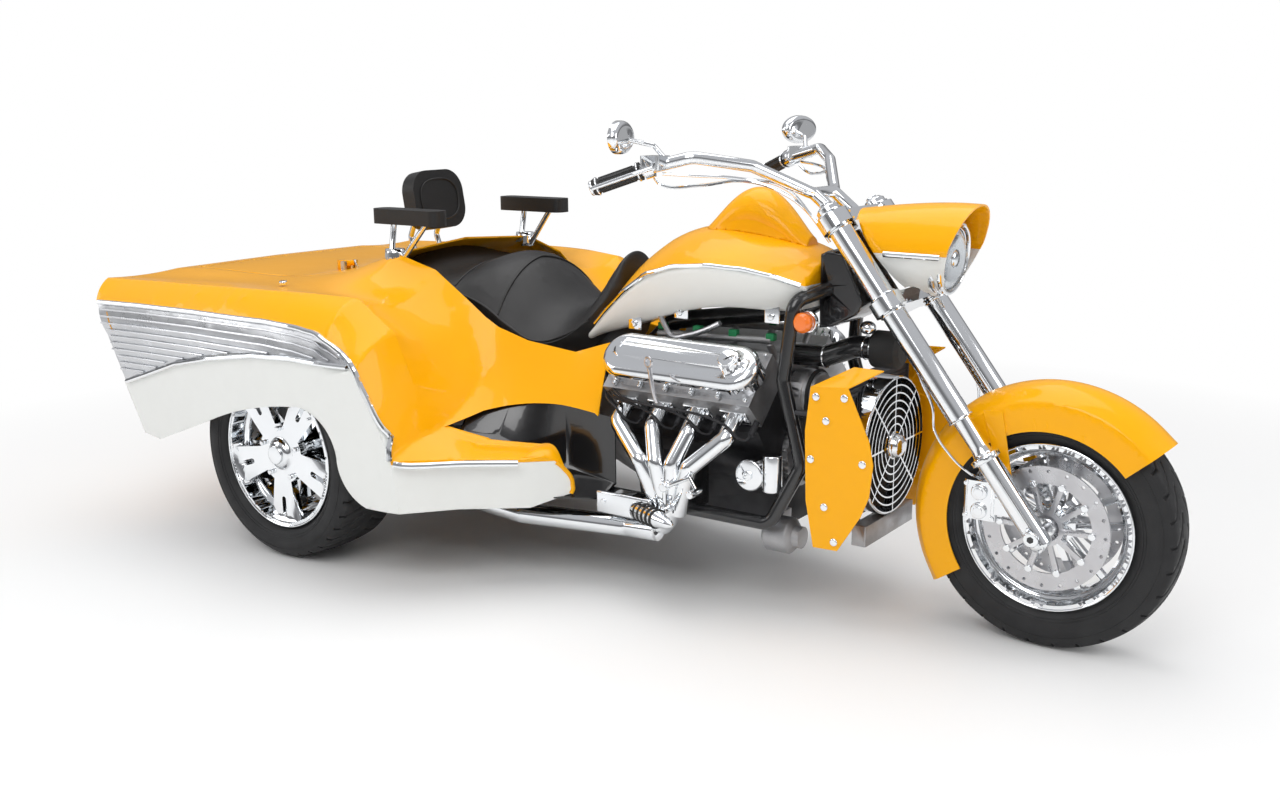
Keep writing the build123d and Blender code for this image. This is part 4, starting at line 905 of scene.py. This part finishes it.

# %% [markdown]
# A brake caliper shows a round cap over each piston and four bolts, and a bright pipe brings it fluid
# along the fork. Nuts close the axle's ends, and a flat black hexagon on each nut is painted shade
# standing in for the hollow of its socket.

# %% Calipers, pipes and axle ends
caliper_y = 0.118
pipe_line = (
    # ahead, y, height
    (1.79, 0.12, 0.8), (1.84, 0.15, 0.68), (1.877, 0.152, 0.607), (1.885, 0.152, 0.551),
    (1.927, 0.15, 0.493), (1.968, 0.13, 0.45), (1.992, 0.1, 0.428),
)
brake_parts = []
for side in (-1, 1):
    out = Vector((0, side, 0))
    for rise in (0.034, 0.083):
        spot = front_axle + Vector((-0.153, side * caliper_y, rise))
        brake_parts.append(barrel(spot, spot + out * 0.01, 0.021, 28, 0.004))
        brake_parts.append(barrel(spot + out * 0.008, spot + out * 0.0125, 0.012, 24, 0.001))
    for back, rise in ((-0.188, 0.018), (-0.118, 0.018), (-0.188, 0.102), (-0.118, 0.102)):
        spot = front_axle + Vector((back, side * caliper_y, rise))
        brake_parts.append(barrel(spot, spot + out * 0.007, 0.0065, 6, 0.001))
    end = front_axle + Vector((0, side * 0.168, 0))
    brake_parts.append(barrel(end - out * 0.004, end + out * 0.008, 0.019, 32, 0.003))
    stay = on_fork(0.165, 0, side * caliper_y)
    brake_parts.append(barrel(stay, stay + out * 0.006, 0.008, 6, 0.001))
    pipe = [(ahead(d), side * y, z) for d, y, z in pipe_line]
    brake_parts.append(wire(pipe, 0.0036, resolution=2))
place(joined(brake_parts), "caliper caps and brake pipes", "chrome", "steering")
# Flat black hexagons of painted shade, where the hollow of each nut's socket would be dark.
sockets = [
    barrel(front_axle + Vector((0, side * 0.174, 0)), front_axle + Vector((0, side * 0.1768, 0)), 0.009, 6)
    for side in (-1, 1)
]
place(joined(sockets), "axle socket shade", "frame_black", "steering")
print("caliper and axle parts", len(brake_parts) + len(sockets))

# %% [markdown]
# ## Fork, handlebar and headlamp
# The fork's covers have a bright band at each clamp, and bolts pinch the clamps together across it. A
# table gives each band's height up the leg, its radius and its thickness.

# %% Fork bands and bolts
band_rows = (
    (0.336, 0.0305, 0.0035), (0.652, 0.0325, 0.003), (0.700, 0.0325, 0.003), (0.905, 0.0325, 0.003),
    (0.955, 0.0325, 0.003),
)
fork_parts = []
for side in (-1, 1):
    y = side * fork_half
    for along, radius, thickness in band_rows:
        fork_parts.append(ring(on_fork(along, 0, y), leg_up, radius, thickness, 40))
    for along in (0.676, 0.93):
        for shift in (-0.01, 0.01):
            spot = on_fork(along + shift, 0.03, y - side * 0.03)
            bolt_start = spot - Vector((0, side * 0.01, 0))
            bolt_end = spot + Vector((0, side * 0.04, 0))
            fork_parts.append(barrel(bolt_start, bolt_end, 0.0055, 6))
    cap = on_fork(0.972, 0, y)
    fork_parts.append(barrel(cap, cap + leg_up * 0.012, 0.017, 6, 0.002))
stem_cap = on_fork(0.955, -0.05)
fork_parts.append(barrel(stem_cap, stem_cap + leg_up * 0.016, 0.021, 6, 0.002))
place(joined(fork_parts), "fork bands and bolts", "chrome", "steering")
print("fork bands and bolts", len(fork_parts))

# %% [markdown]
# Two control cables leave each grip and hang in one easy bend to the steering head. The grips are
# ribbed so that a wet hand holds them, and each mirror has a flat glass in its shell. A cable's points
# are counted from the middle of the bar, for the left side, and mirrored for the right.

# %% Handlebar, grips and mirrors
bar_centre = on_fork(1.044, -0.045)


def off_bar(forward, left, above):
    """A point placed from the middle of the handlebar."""
    return bar_centre + Vector((forward, left, above))


hand_way = Vector((-0.8515, 0.4136, -0.3224)).normalized()
grip_start = off_bar(-0.3252, 0.3842, 0.0665)
cable_runs = (
    (
        (-0.285, 0.385, 0.05), (-0.262, 0.385, 0.032), (-0.19, 0.325, 0.03), (-0.11, 0.225, 0.038),
        (-0.045, 0.13, 0.0), (0.005, 0.08, -0.055), (0.045, 0.055, -0.12),
    ),
    (
        (-0.27, 0.37, 0.06), (-0.2, 0.33, 0.055), (-0.12, 0.24, 0.045), (-0.045, 0.12, 0.012),
        (0.012, 0.085, -0.06), (0.055, 0.065, -0.125),
    ),
)
grip_ribs = 9
grip_radius = 0.0188
mirror_wide = 0.06
mirror_high = 0.035
mirror_thick = 0.002
bar_parts, rubber_parts, glass_parts = [], [], []
for side in (-1, 1):
    flip = Vector((1, side, 1))
    for run in cable_runs:
        bar_parts.append(wire([off_bar(f, side * y, z) for f, y, z in run], 0.0042, resolution=2))
    way = hand_way * flip
    first = grip_start * flip
    bar_parts.append(barrel(first + way * 0.132, first + way * 0.142, 0.0195, 32, 0.003))
    bar_parts.append(ring(first + way * 0.122, way, 0.0215, 0.003, 32))
    bar_parts.append(ring(first + way * 0.008, way, 0.0225, 0.003, 32))
    for strip in range(grip_ribs):
        angle = 2 * pi * strip / grip_ribs
        across = way.orthogonal().normalized()
        off = across * cos(angle) * grip_radius + way.cross(across) * sin(angle) * grip_radius
        rubber_parts.append(barrel(first + off + way * 0.018, first + off + way * 0.113, 0.0028, 8))
    bpy.ops.mesh.primitive_cylinder_add(vertices=48, radius=1, depth=1)
    glass = bpy.context.object
    normal = Vector((-0.97, side * 0.25, 0)).normalized()
    across = Vector((0.25, side * 0.97, 0)).normalized()
    centre = off_bar(-0.34, side * 0.468, 0.153) + normal * 0.0012
    glass.matrix_world = Matrix((
        (across.x * mirror_wide, 0, normal.x * mirror_thick, centre.x),
        (across.y * mirror_wide, 0, normal.y * mirror_thick, centre.y),
        (0, mirror_high, 0, centre.z),
        (0, 0, 0, 1),
    ))
    glass_parts.append(glass)
place(joined(bar_parts), "cables and grip collars", "chrome", "steering")
place(joined(rubber_parts), "grip ribs", "grip_rubber", "steering")
place(joined(glass_parts), "mirror glass", "mirror_glass", "steering")
print("cables and collars", len(bar_parts), "grip ribs", len(rubber_parts), "mirrors", len(glass_parts))

# %% [markdown]
# The headlamp is a bowl with a bright rim and a domed glass. The dome is a flattened ball, because a
# flat disc would catch no highlight, and a bright bulb shows through it.

# %% Headlamp
lamp_way = Vector((0.99, 0, -0.12)).normalized()
lamp_root = Vector((ahead(1.69), 0, 0.985))
rim = ring(lamp_root + lamp_way * 0.166, lamp_way, 0.089, 0.0065, 72)
inner_rim = ring(lamp_root + lamp_way * 0.162, lamp_way, 0.078, 0.0025, 72)
bulb = ball(lamp_root + lamp_way * 0.158, (0.012, 0.024, 0.024))
place(joined([rim, inner_rim, bulb]), "headlamp rim", "chrome", "steering")
dome = ball(lamp_root + lamp_way * 0.158, (0.024, 0.084, 0.084), 40)
place(dome, "headlamp glass", "lens_glass", "steering")
print("headlamp's middle", [round(value, 3) for value in lamp_root])

# %% [markdown]
# ## Radiator, lamps and clamps
# The radiator's core is a stack of thin fins behind the fan. Thin boxes stand for them, since a
# pattern on a flat face would lose the dark gaps between them.

# %% Radiator fins
fin_count = 30
fin_pitch = 0.012
fin_size = (0.004, 0.372, 0.0025)
core_fins = [
    box((ahead(1.6515), 0, 0.278 + fin_pitch * step), fin_size, 0.0005) for step in range(fin_count)
]
place(joined(core_fins), "radiator fins", "radiator_core", "chassis", smooth=False)
print("radiator fins", len(core_fins))

# %% [markdown]
# Domed bolts hold the radiator's side covers, each amber side lamp stands in a bright cup, and bright
# clamps close the hoses.

# %% Bolts, lamp cups and hose clamps
cover_bolts = (
    # ahead, height
    (1.63, 0.33), (1.63, 0.56), (1.588, 0.453), (1.735, 0.46), (1.66, 0.24), (1.6, 0.62), (1.68, 0.625),
)
bolts = []
for side in (-1, 1):
    out = Vector((0, side, 0))
    for d, z in cover_bolts:
        spot = Vector((ahead(d), side * 0.246, z))
        bolts.append(barrel(spot - out * 0.003, spot + out * 0.006, 0.011, 24, 0.004))
    cup = Vector((ahead(1.53), side * 0.175, 0.798))
    bolts.append(ring(cup, (0, 1, 0), 0.0265, 0.004, 40))
    bolts.append(barrel(cup - out * 0.018, cup, 0.026, 40, 0.002))
bolts.append(ball((ahead(1.645), -0.05, 0.775), (0.022, 0.022, 0.018)))
bolts.append(ring((ahead(1.648), 0, 0.712), (1, 0, 0), 0.046, 0.004, 48))
bolts.append(ring((ahead(1.5), 0, 0.676), (1, 0, 0.1), 0.031, 0.0028, 40))
bolts.append(ring((ahead(1.62), 0, 0.712), (1, 0, 0), 0.031, 0.0028, 40))
place(joined(bolts), "radiator bolts and clamps", "chrome", "chassis")
print("bolts, cups and clamps", len(bolts))

# %% [markdown]
# ## Engine details
# Every exhaust port has a flange with two bolts, every cylinder a spark plug with its lead, and every
# injector a green connector. Both banks lean out by 45 degrees, so each place is counted along a bank:
# up its deck from the crank, and out from its middle.

# %% Ports, plugs and covers
crank_z = 0.415
lean_share = 0.7071
port_first = 1.005
port_pitch = 0.118
cover_bolt_first = 0.985
cover_bolt_pitch = 0.085
engine_parts = []
lead_parts = []
boots = []
connectors = []
for side in (-1, 1):
    out = Vector((0, side * lean_share, -lean_share))
    up_deck = Vector((0, side * lean_share, lean_share))
    for port in range(4):
        x = ahead(port_first + port_pitch * port)
        port_centre = Vector((x, 0, crank_z)) + up_deck * 0.2585 + out * 0.088
        turn = (side * radians(-135), 0, 0)
        engine_parts.append(box(port_centre, (0.082, 0.05, 0.008), 0.003, turn))
        for shift in (-0.032, 0.032):
            foot = port_centre + Vector((shift, 0, 0))
            engine_parts.append(barrel(foot, foot + out * 0.01, 0.0065, 6, 0.001))
        plug = Vector((x + 0.059, 0, crank_z)) + up_deck * 0.243 + out * 0.086
        boots.append(barrel(plug, plug + out * 0.045, 0.0085, 16, 0.002))
        end = plug + out * 0.043
        lead = [
            end,
            end + out * 0.022 + Vector((-0.01, 0, 0.004)),
            end + Vector((-0.06, side * 0.04, 0.03)),
            Vector((ahead(0.93), side * 0.25, 0.56 + 0.012 * port)),
            Vector((ahead(0.915), side * 0.13, 0.66 + 0.008 * port)),
        ]
        lead_parts.append(wire(lead, 0.0036, resolution=2))
        connectors.append(box((x + 0.03, side * 0.112, 0.735), (0.026, 0.02, 0.02), 0.003))
    for step in range(6):
        on_deck = Vector((ahead(cover_bolt_first + cover_bolt_pitch * step), 0, crank_z)) + up_deck * 0.318
        for across in (0.074, -0.074):
            spot = on_deck + out * across
            engine_parts.append(barrel(spot, spot + up_deck * 0.012, 0.006, 6, 0.001))
    cap = Vector((ahead(1.357), 0, crank_z)) + up_deck * 0.404
    engine_parts.append(barrel(cap, cap + up_deck * 0.006, 0.026, 32, 0.003))
    for d, z in ((1.127, 0.793), (1.417, 0.805), (0.969, 0.748)):
        engine_parts.append(box((ahead(d), side * 0.158, z), (0.046, 0.006, 0.05), 0.008))
        stud_start = (ahead(d), side * 0.158, z - 0.006)
        stud_end = (ahead(d), side * 0.169, z - 0.006)
        engine_parts.append(barrel(stud_start, stud_end, 0.009, 20, 0.002))
    for near, far, radius, sides, edge in ((0.17, 0.245, 0.044, 36, 0.006), (0.245, 0.252, 0.014, 6, 0.001)):
        pulley_start = (ahead(1.399), side * near, 0.378)
        pulley_end = (ahead(1.399), side * far, 0.378)
        engine_parts.append(barrel(pulley_start, pulley_end, radius, sides, edge))
    pump_foot = (ahead(1.468), side * 0.235, 0.342)
    pump_head = (ahead(1.468), side * 0.235, 0.444)
    engine_parts.append(barrel(pump_foot, pump_head, 0.027, 32, 0.005))
place(joined(engine_parts), "engine flanges and bolts", "chrome", "chassis")
place(joined(lead_parts), "spark plug leads", "engine_iron", "chassis")
place(joined(boots), "plug boots", "engine_iron", "chassis")
place(joined(connectors), "injector connectors", "connector_green", "chassis")
print("flanges and bolts", len(engine_parts), "leads", len(lead_parts))
print("boots", len(boots), "connectors", len(connectors))

# %% [markdown]
# A dipstick with a finger loop stands beside the right bank, and a pipe brings fuel to the rail.

# %% Dipstick and fuel pipe
dip_points = [
    (ahead(1.176), -0.352, 0.572),
    (ahead(1.172), -0.36, 0.6),
    (ahead(1.16), -0.362, 0.666),
]
dipstick = wire(dip_points, 0.006)
dip_loop = ring((ahead(1.157), -0.362, 0.682), (0.3, 1, 0), 0.013, 0.0035, 24)
fuel_points = ((1.05, 0.772), (1.066, 0.744), (1.09, 0.716), (1.14, 0.722), (1.2, 0.742), (1.249, 0.765))
fuel_pipe = wire([(ahead(d), -0.15, z) for d, z in fuel_points], 0.0085)
place(joined([dipstick, dip_loop, fuel_pipe]), "dipstick and fuel pipe", "brake_steel", "chassis")
print("points on the fuel pipe", len(fuel_points))

# %% [markdown]
# A belt lies on the outer side of each pulley and runs straight between them, along the line that
# touches both circles. The lean of that line comes from the difference of the two radii.

# %% Drive belt
belt_ahead = 1.476
belt_steps = 14


def belt_route(wheels, steps):
    """Points on the outer sides of round pulleys, as a belt lies on them."""
    points = []
    for (y, z, radius), first, last in wheels:
        for step in range(steps + 1):
            angle = first + (last - first) * step / steps
            points.append((ahead(belt_ahead), y + cos(angle) * radius, z + sin(angle) * radius))
    return points


lean = atan2(0.084 - 0.066, 0.17)
pulleys = (
    # y, z and radius, then the angles where the belt meets and leaves the pulley
    ((0, 0.565, 0.067), -lean, pi + lean),
    ((0, 0.395, 0.085), pi + lean, 2 * pi - lean),
)
belt = wire(belt_route(pulleys, belt_steps), 0.006, smooth=False, closed=True)
place(belt, "drive belt", "grip_rubber", "chassis")
print("belt's lean in radians", round(lean, 4))

# %% [markdown]
# ## Foot gear
# A plated cover stands beside each foot peg, and rods link the brake pedal. The pegs carry rubber
# rings, which keep a boot from slipping.

# %% Foot gear
rods = ([(1.207, 0.343), (1.288, 0.381), (1.31, 0.346)], [(1.207, 0.343), (1.207, 0.278)])
rod_pivots = (
    # ahead, height, inner y, outer y, radius
    (1.207, 0.343, 0.345, 0.372, 0.013),
    (1.31, 0.346, 0.345, 0.4, 0.011),
    (1.207, 0.278, 0.3, 0.372, 0.011),
)
foot_parts = []
foot_rubber = []
for side in (-1, 1):
    foot_parts.append(box((ahead(1.066), side * 0.356, 0.265), (0.185, 0.014, 0.064), 0.006))
    for d in (1.0, 1.12):
        bolt_start = (ahead(d), side * 0.36, 0.268)
        bolt_end = (ahead(d), side * 0.367, 0.268)
        foot_parts.append(barrel(bolt_start, bolt_end, 0.008, 20, 0.002))
    for run in rods:
        foot_parts.append(wire([(ahead(d), side * 0.36, z) for d, z in run], 0.0065, smooth=False))
    for d, z, inner, outer, radius in rod_pivots:
        pivot_start = (ahead(d), side * inner, z)
        pivot_end = (ahead(d), side * outer, z)
        foot_parts.append(barrel(pivot_start, pivot_end, radius, 24, 0.003))
    peg_way = Vector((0.92, side * 0.36, 0)).normalized()
    peg_start = Vector((ahead(1.098), side * 0.354, 0.262))
    for share in (0.035, 0.055, 0.075, 0.095, 0.115):
        foot_rubber.append(ring(peg_start + peg_way * share, peg_way, 0.0245, 0.0038, 32))
place(joined(foot_parts), "foot covers and rods", "chrome", "chassis")
place(joined(foot_rubber), "peg rubbers", "grip_rubber", "chassis")
print("foot covers and rods", len(foot_parts), "rubber rings", len(foot_rubber))

# %% [markdown]
# ## Seat seams
# Piping is a thin cord of leather sewn into the edge of the cushion. It could be painted on, but it
# stands proud and catches the light, so it is a wire on points that are found on the seat itself.

# %% Seat edge and cross seams
seat_tree = tree_of(("seat",))
seat_edge = (
    # ahead, y, height
    (0.19, 0.255, 0.842), (0.33, 0.268, 0.81), (0.42, 0.264, 0.79), (0.48, 0.257, 0.765),
    (0.57, 0.25, 0.71), (0.66, 0.239, 0.675), (0.74, 0.2, 0.695), (0.8, 0.158, 0.735),
)
seams = []
for side in (-1, 1):
    points = []
    for d, y, z in seat_edge:
        hit, normal = seat_tree.find_nearest(Vector((ahead(d), side * y, z)))[:2]
        points.append(hit + normal * 0.001)
    seams.append(wire(points, 0.0035, resolution=2))
for d in (0.33, 0.5):
    points = []
    for step in range(-10, 11):
        y = 0.025 * step
        above = Vector((ahead(d) + abs(y) * 0.12, y, 1.1))
        hit, normal = seat_tree.ray_cast(above, Vector((0, 0, -1)))[:2]
        if hit is not None:
            points.append(hit + normal * 0.0005)
    seams.append(wire(points, 0.0028, resolution=2))
print("seat seams", len(seams))

# %% [markdown]
# A loop of the same piping runs round the backrest's face. Its outline is between an ellipse and a
# rectangle: a power of 2 would give the first, and a larger one makes the corners squarer.

# %% Backrest piping
loop_power = 2.6
loop_steps = 32
loop_half_width = 0.086
loop_half_height = 0.066
pad_normal = Vector((0.98, 0, 0.17)).normalized()
pad_up = Vector((-0.17, 0, 0.98)).normalized()
pad_face = Vector((ahead(0.02), 0, 1.045)) + pad_normal * 0.0535
loop = []
for step in range(loop_steps):
    angle = 2 * pi * step / loop_steps
    flat = abs(cos(angle)) ** loop_power + abs(sin(angle)) ** loop_power
    reach = 1 / flat ** (1 / loop_power)
    across = Vector((0, cos(angle) * reach * loop_half_width, 0))
    loop.append(pad_face + across + pad_up * (sin(angle) * reach * loop_half_height))
seams.append(wire(loop, 0.003, closed=True, resolution=2))
place(joined(seams), "seat piping", "leather_black", "chassis")
print("backrest loop points", len(loop))

# %% [markdown]
# ## Rear wheels and tail
# Five bolts and a cap dress each hub, beads run round the rim and a valve stem stands in it. The tread
# is cut as on the front tyre, with more grooves, and straighter ones, for the wider tyre.

# %% Rear wheels
hub_face = 0.0867
bead_side = 0.0995
lug_count = 5
lug_radius = 0.079
lug_start = radians(90)
for side, word in ((-1, "right"), (1, "left")):
    hub = rear_axle * Vector((1, side, 1))
    out = Vector((0, side, 0))
    wheel_parts = [ring(hub + out * bead_side, (0, 1, 0), 0.2255, 0.0036, 80)]
    wheel_parts.append(ring(hub - out * bead_side, (0, 1, 0), 0.2255, 0.0036, 80))
    for turn in range(lug_count):
        angle = lug_start + 2 * pi * turn / lug_count
        spot = hub + Vector((cos(angle) * lug_radius, 0, sin(angle) * lug_radius))
        wheel_parts.append(barrel(spot + out * hub_face, spot + out * (hub_face + 0.012), 0.0085, 6, 0.0015))
    cap_start = hub + out * (hub_face + 0.018)
    cap_end = hub + out * (hub_face + 0.026)
    wheel_parts.append(barrel(cap_start, cap_end, 0.03, 36, 0.005))
    stem = hub + Vector((0.15, 0, 0.13))
    wheel_parts.append(barrel(stem + out * 0.082, stem + out * 0.104, 0.004, 12, 0.001))
    place(joined(wheel_parts), f"rear rim beads {word}", "chrome", f"rear_wheel_{word}")
    cut_tread(f"rear_tyre_{word}", hub, count=38, outer=0.11, inner=0.022, sweep=8, width=0.0042)
    tree = tree_of((f"rear_tyre_{word}",))
    lines = []
    for radius in (0.25, 0.257, 0.292):
        spot = skin_point(tree, hub.x + radius, hub.z, side, 0.0002)
        lines.append(ring(Vector((hub.x, spot.y, hub.z)), (0, 1, 0), radius, 0.0012, 96))
    place(joined(lines), f"rear tyre wall lines {word}", "tyre_rubber", f"rear_wheel_{word}")
print("parts on each rear wheel", len(wheel_parts), "wall lines", len(lines))

# %% [markdown]
# Bright rings frame the tail lamps and the exhaust ends, round ends close the bumper, and a small
# cap sits on each shoulder of the body. A dark disc in each exhaust is painted shade: it stands in
# for the shadow inside the pipe and makes it look hollow.

# %% Tail
tail_parts = []
for side in (-1, 1):
    tail_parts.append(ring((ahead(-0.705), side * 0.56, 0.64), (1, 0, 0), 0.0455, 0.0045, 56))
    cap_foot = (ahead(-0.04), side * 0.576, 0.828)
    cap_top = (ahead(-0.04), side * 0.577, 0.84)
    tail_parts.append(barrel(cap_foot, cap_top, 0.012, 28, 0.003))
    tail_parts.append(ring((ahead(-0.562), side * 0.37, 0.24), (-1, 0, 0.1), 0.0315, 0.003, 40))
    tail_parts.append(ball((ahead(-0.668), side * 0.598, 0.452), (0.0205, 0.012, 0.0205)))
place(joined(tail_parts), "tail rings and caps", "chrome", "chassis")
# Dark discs of painted shade just inside the exhaust mouths, where the inside of each pipe would be in
# shadow.
shade_discs = [
    barrel((ahead(-0.5605), side * 0.37, 0.24), (ahead(-0.5635), side * 0.37, 0.2403), 0.027, 32)
    for side in (-1, 1)
]
place(joined(shade_discs), "exhaust shade discs", "frame_black", "chassis")
print("tail rings and caps", len(tail_parts), "exhaust shade discs", len(shade_discs))

# %% [markdown]
# ## Studio
# A product picture has a pale floor that runs on into its background without an edge. The floor's own
# colour takes the shadow near the vehicle, and further out, for the camera alone, it fades to white.

# %% Studio floor
fade_start = 1.2
fade_end = 3.6
bpy.ops.mesh.primitive_plane_add(size=60, location=(0, 0, 0))
floor = bpy.context.object
floor.name = "studio_floor"
paper = look["floor_paper"].node_tree
paper_way = node(paper, "ShaderNodeTexCoord", -900, -300)
paper_far = node(paper, "ShaderNodeVectorMath", -700, -300)
paper_far.operation = "LENGTH"
paper.links.new(paper_way.outputs["Object"], paper_far.inputs[0])
paper_fade = node(paper, "ShaderNodeMapRange", -500, -300)
paper_fade.inputs["From Min"].default_value = fade_start
paper_fade.inputs["From Max"].default_value = fade_end
paper.links.new(paper_far.outputs["Value"], paper_fade.inputs["Value"])
paper_ray = node(paper, "ShaderNodeLightPath", -500, -600)
paper_share = math_node(paper, "MULTIPLY", paper_fade.outputs["Result"], paper_ray.outputs["Is Camera Ray"])
paper_glow = node(paper, "ShaderNodeEmission", 0, -300, Strength=1.0)
paper_mix = node(paper, "ShaderNodeMixShader", 400, 0)
paper.links.new(paper_share, paper_mix.inputs[0])
paper.links.new(paper.nodes["Principled BSDF"].outputs[0], paper_mix.inputs[1])
paper.links.new(paper_glow.outputs[0], paper_mix.inputs[2])
paper.links.new(paper_mix.outputs[0], paper.nodes["Material Output"].inputs["Surface"])
floor.data.materials.append(look["floor_paper"])
floor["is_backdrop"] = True
print("floor fades from", fade_start, "to", fade_end, "metres")

# %% [markdown]
# The world is white to the camera. Everything else sees a grey gradient: pale at the horizon, a dark
# band just above it, and pale again overhead. The band gives the bright metal its dark edges.

# %% Sky
world_level = 0.55
world = bpy.data.worlds.new("studio")
bpy.context.scene.world = world
world.use_nodes = True
sky = world.node_tree
background = sky.nodes["Background"]
sky_way = node(sky, "ShaderNodeTexCoord", -900, 0)
sky_parts = node(sky, "ShaderNodeSeparateXYZ", -700, 0)
sky.links.new(sky_way.outputs["Generated"], sky_parts.inputs[0])
sky_ramp = node(sky, "ShaderNodeValToRGB", -500, 0)
sky_ramp.color_ramp.elements[0].position = 0.0
sky_ramp.color_ramp.elements[0].color = (0.75, 0.75, 0.76, 1)
sky_ramp.color_ramp.elements[1].position = 1.0
sky_ramp.color_ramp.elements[1].color = (0.95, 0.96, 1.0, 1)
for position, shade in ((0.06, 0.3), (0.2, 0.34), (0.42, 0.9)):
    mark = sky_ramp.color_ramp.elements.new(position)
    mark.color = (shade, shade, shade * 1.03, 1)
sky.links.new(sky_parts.outputs["Z"], sky_ramp.inputs[0])
sky_path = node(sky, "ShaderNodeLightPath", -500, 300)
sky_mix = node(sky, "ShaderNodeMix", -200, 100)
sky_mix.data_type = "RGBA"
sky_mix.inputs[mix_second].default_value = (1, 1, 1, 1)
sky.links.new(sky_path.outputs["Is Camera Ray"], sky_mix.inputs[0])
sky.links.new(sky_ramp.outputs[0], sky_mix.inputs[mix_first])
sky.links.new(sky_mix.outputs[mix_result], background.inputs["Color"])
sky_level = node(sky, "ShaderNodeMix", -200, -150)
sky_level.data_type = "FLOAT"
sky_level.inputs[2].default_value = world_level
sky_level.inputs[3].default_value = 1.0
sky.links.new(sky_path.outputs["Is Camera Ray"], sky_level.inputs[0])
sky.links.new(sky_level.outputs[0], background.inputs["Strength"])
print("steps in the sky's gradient", len(sky_ramp.color_ramp.elements))

# %% [markdown]
# Four large soft lamps stand round the vehicle. A small lamp would give hard shadows and tight
# highlights, and a large one close by gives broad ones, as in a studio with diffusers.

# %% Lamps
lamps = (
    # name, place, aim, size in metres, power in watts
    ("key lamp", (1.5, -4.5, 4.5), (0, 0, 0.4), 3.5, 130),
    ("top lamp", (-0.5, 0.5, 5.5), (0, 0, 0), 5.0, 145),
    ("left lamp", (-4.5, -3.5, 2.6), (-0.5, 0, 0.5), 2.5, 46),
    ("front lamp", (5.0, 0.5, 2.5), (0.8, 0, 0.6), 2.5, 50),
)
for name, place_at, aim, size, power in lamps:
    lamp = bpy.data.lights.new(name, "AREA")
    lamp.size = size
    lamp.energy = power
    holder = bpy.data.objects.new(name, lamp)
    bpy.context.collection.objects.link(holder)
    holder.location = place_at
    holder.rotation_mode = "QUATERNION"
    holder.rotation_quaternion = (Vector(aim) - Vector(place_at)).to_track_quat("-Z", "Y")
print("lamps", len(lamps), "watts in all", sum(row[-1] for row in lamps))

# %% [markdown]
# ## Camera
# The camera stands where the photograph was taken: its place, turn, tilt and lens were solved from
# the wheels and the main lines of the vehicle.

# %% Camera
camera_place = (2.3042, -3.2147, 1.3641)
yaw = radians(35.4)
pitch = radians(12.71)
roll = radians(-0.47)
forward = Vector((-sin(yaw) * cos(pitch), cos(yaw) * cos(pitch), -sin(pitch)))
level = Vector((cos(yaw), sin(yaw), 0))
upright = level.cross(forward)
right = level * cos(roll) + upright * sin(roll)
up = right.cross(forward)
camera_data = bpy.data.cameras.new("photo camera")
camera_data.lens = 37.38
camera_data.sensor_width = 36
camera = bpy.data.objects.new("photo camera", camera_data)
bpy.context.collection.objects.link(camera)
camera.matrix_world = Matrix((
    (right.x, up.x, -forward.x, camera_place[0]),
    (right.y, up.y, -forward.y, camera_place[1]),
    (right.z, up.z, -forward.z, camera_place[2]),
    (0, 0, 0, 1),
))
scene = bpy.context.scene
scene.camera = camera
scene.view_settings.view_transform = "Standard"
print("camera at", camera_place, "lens", round(camera_data.lens, 2))

# %% [markdown]
# ## Sizes and the end
# The box round the finished look is compared with the CAD box, since added parts may not make the
# vehicle any larger.

# %% Sizes and the end
full_low, full_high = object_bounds()
past = [max(a - b, d - c) for a, b, c, d in zip(cad_low, full_low, cad_high, full_high)]
print("past the CAD box in millimetres", [round(value * 1000, 1) for value in past])
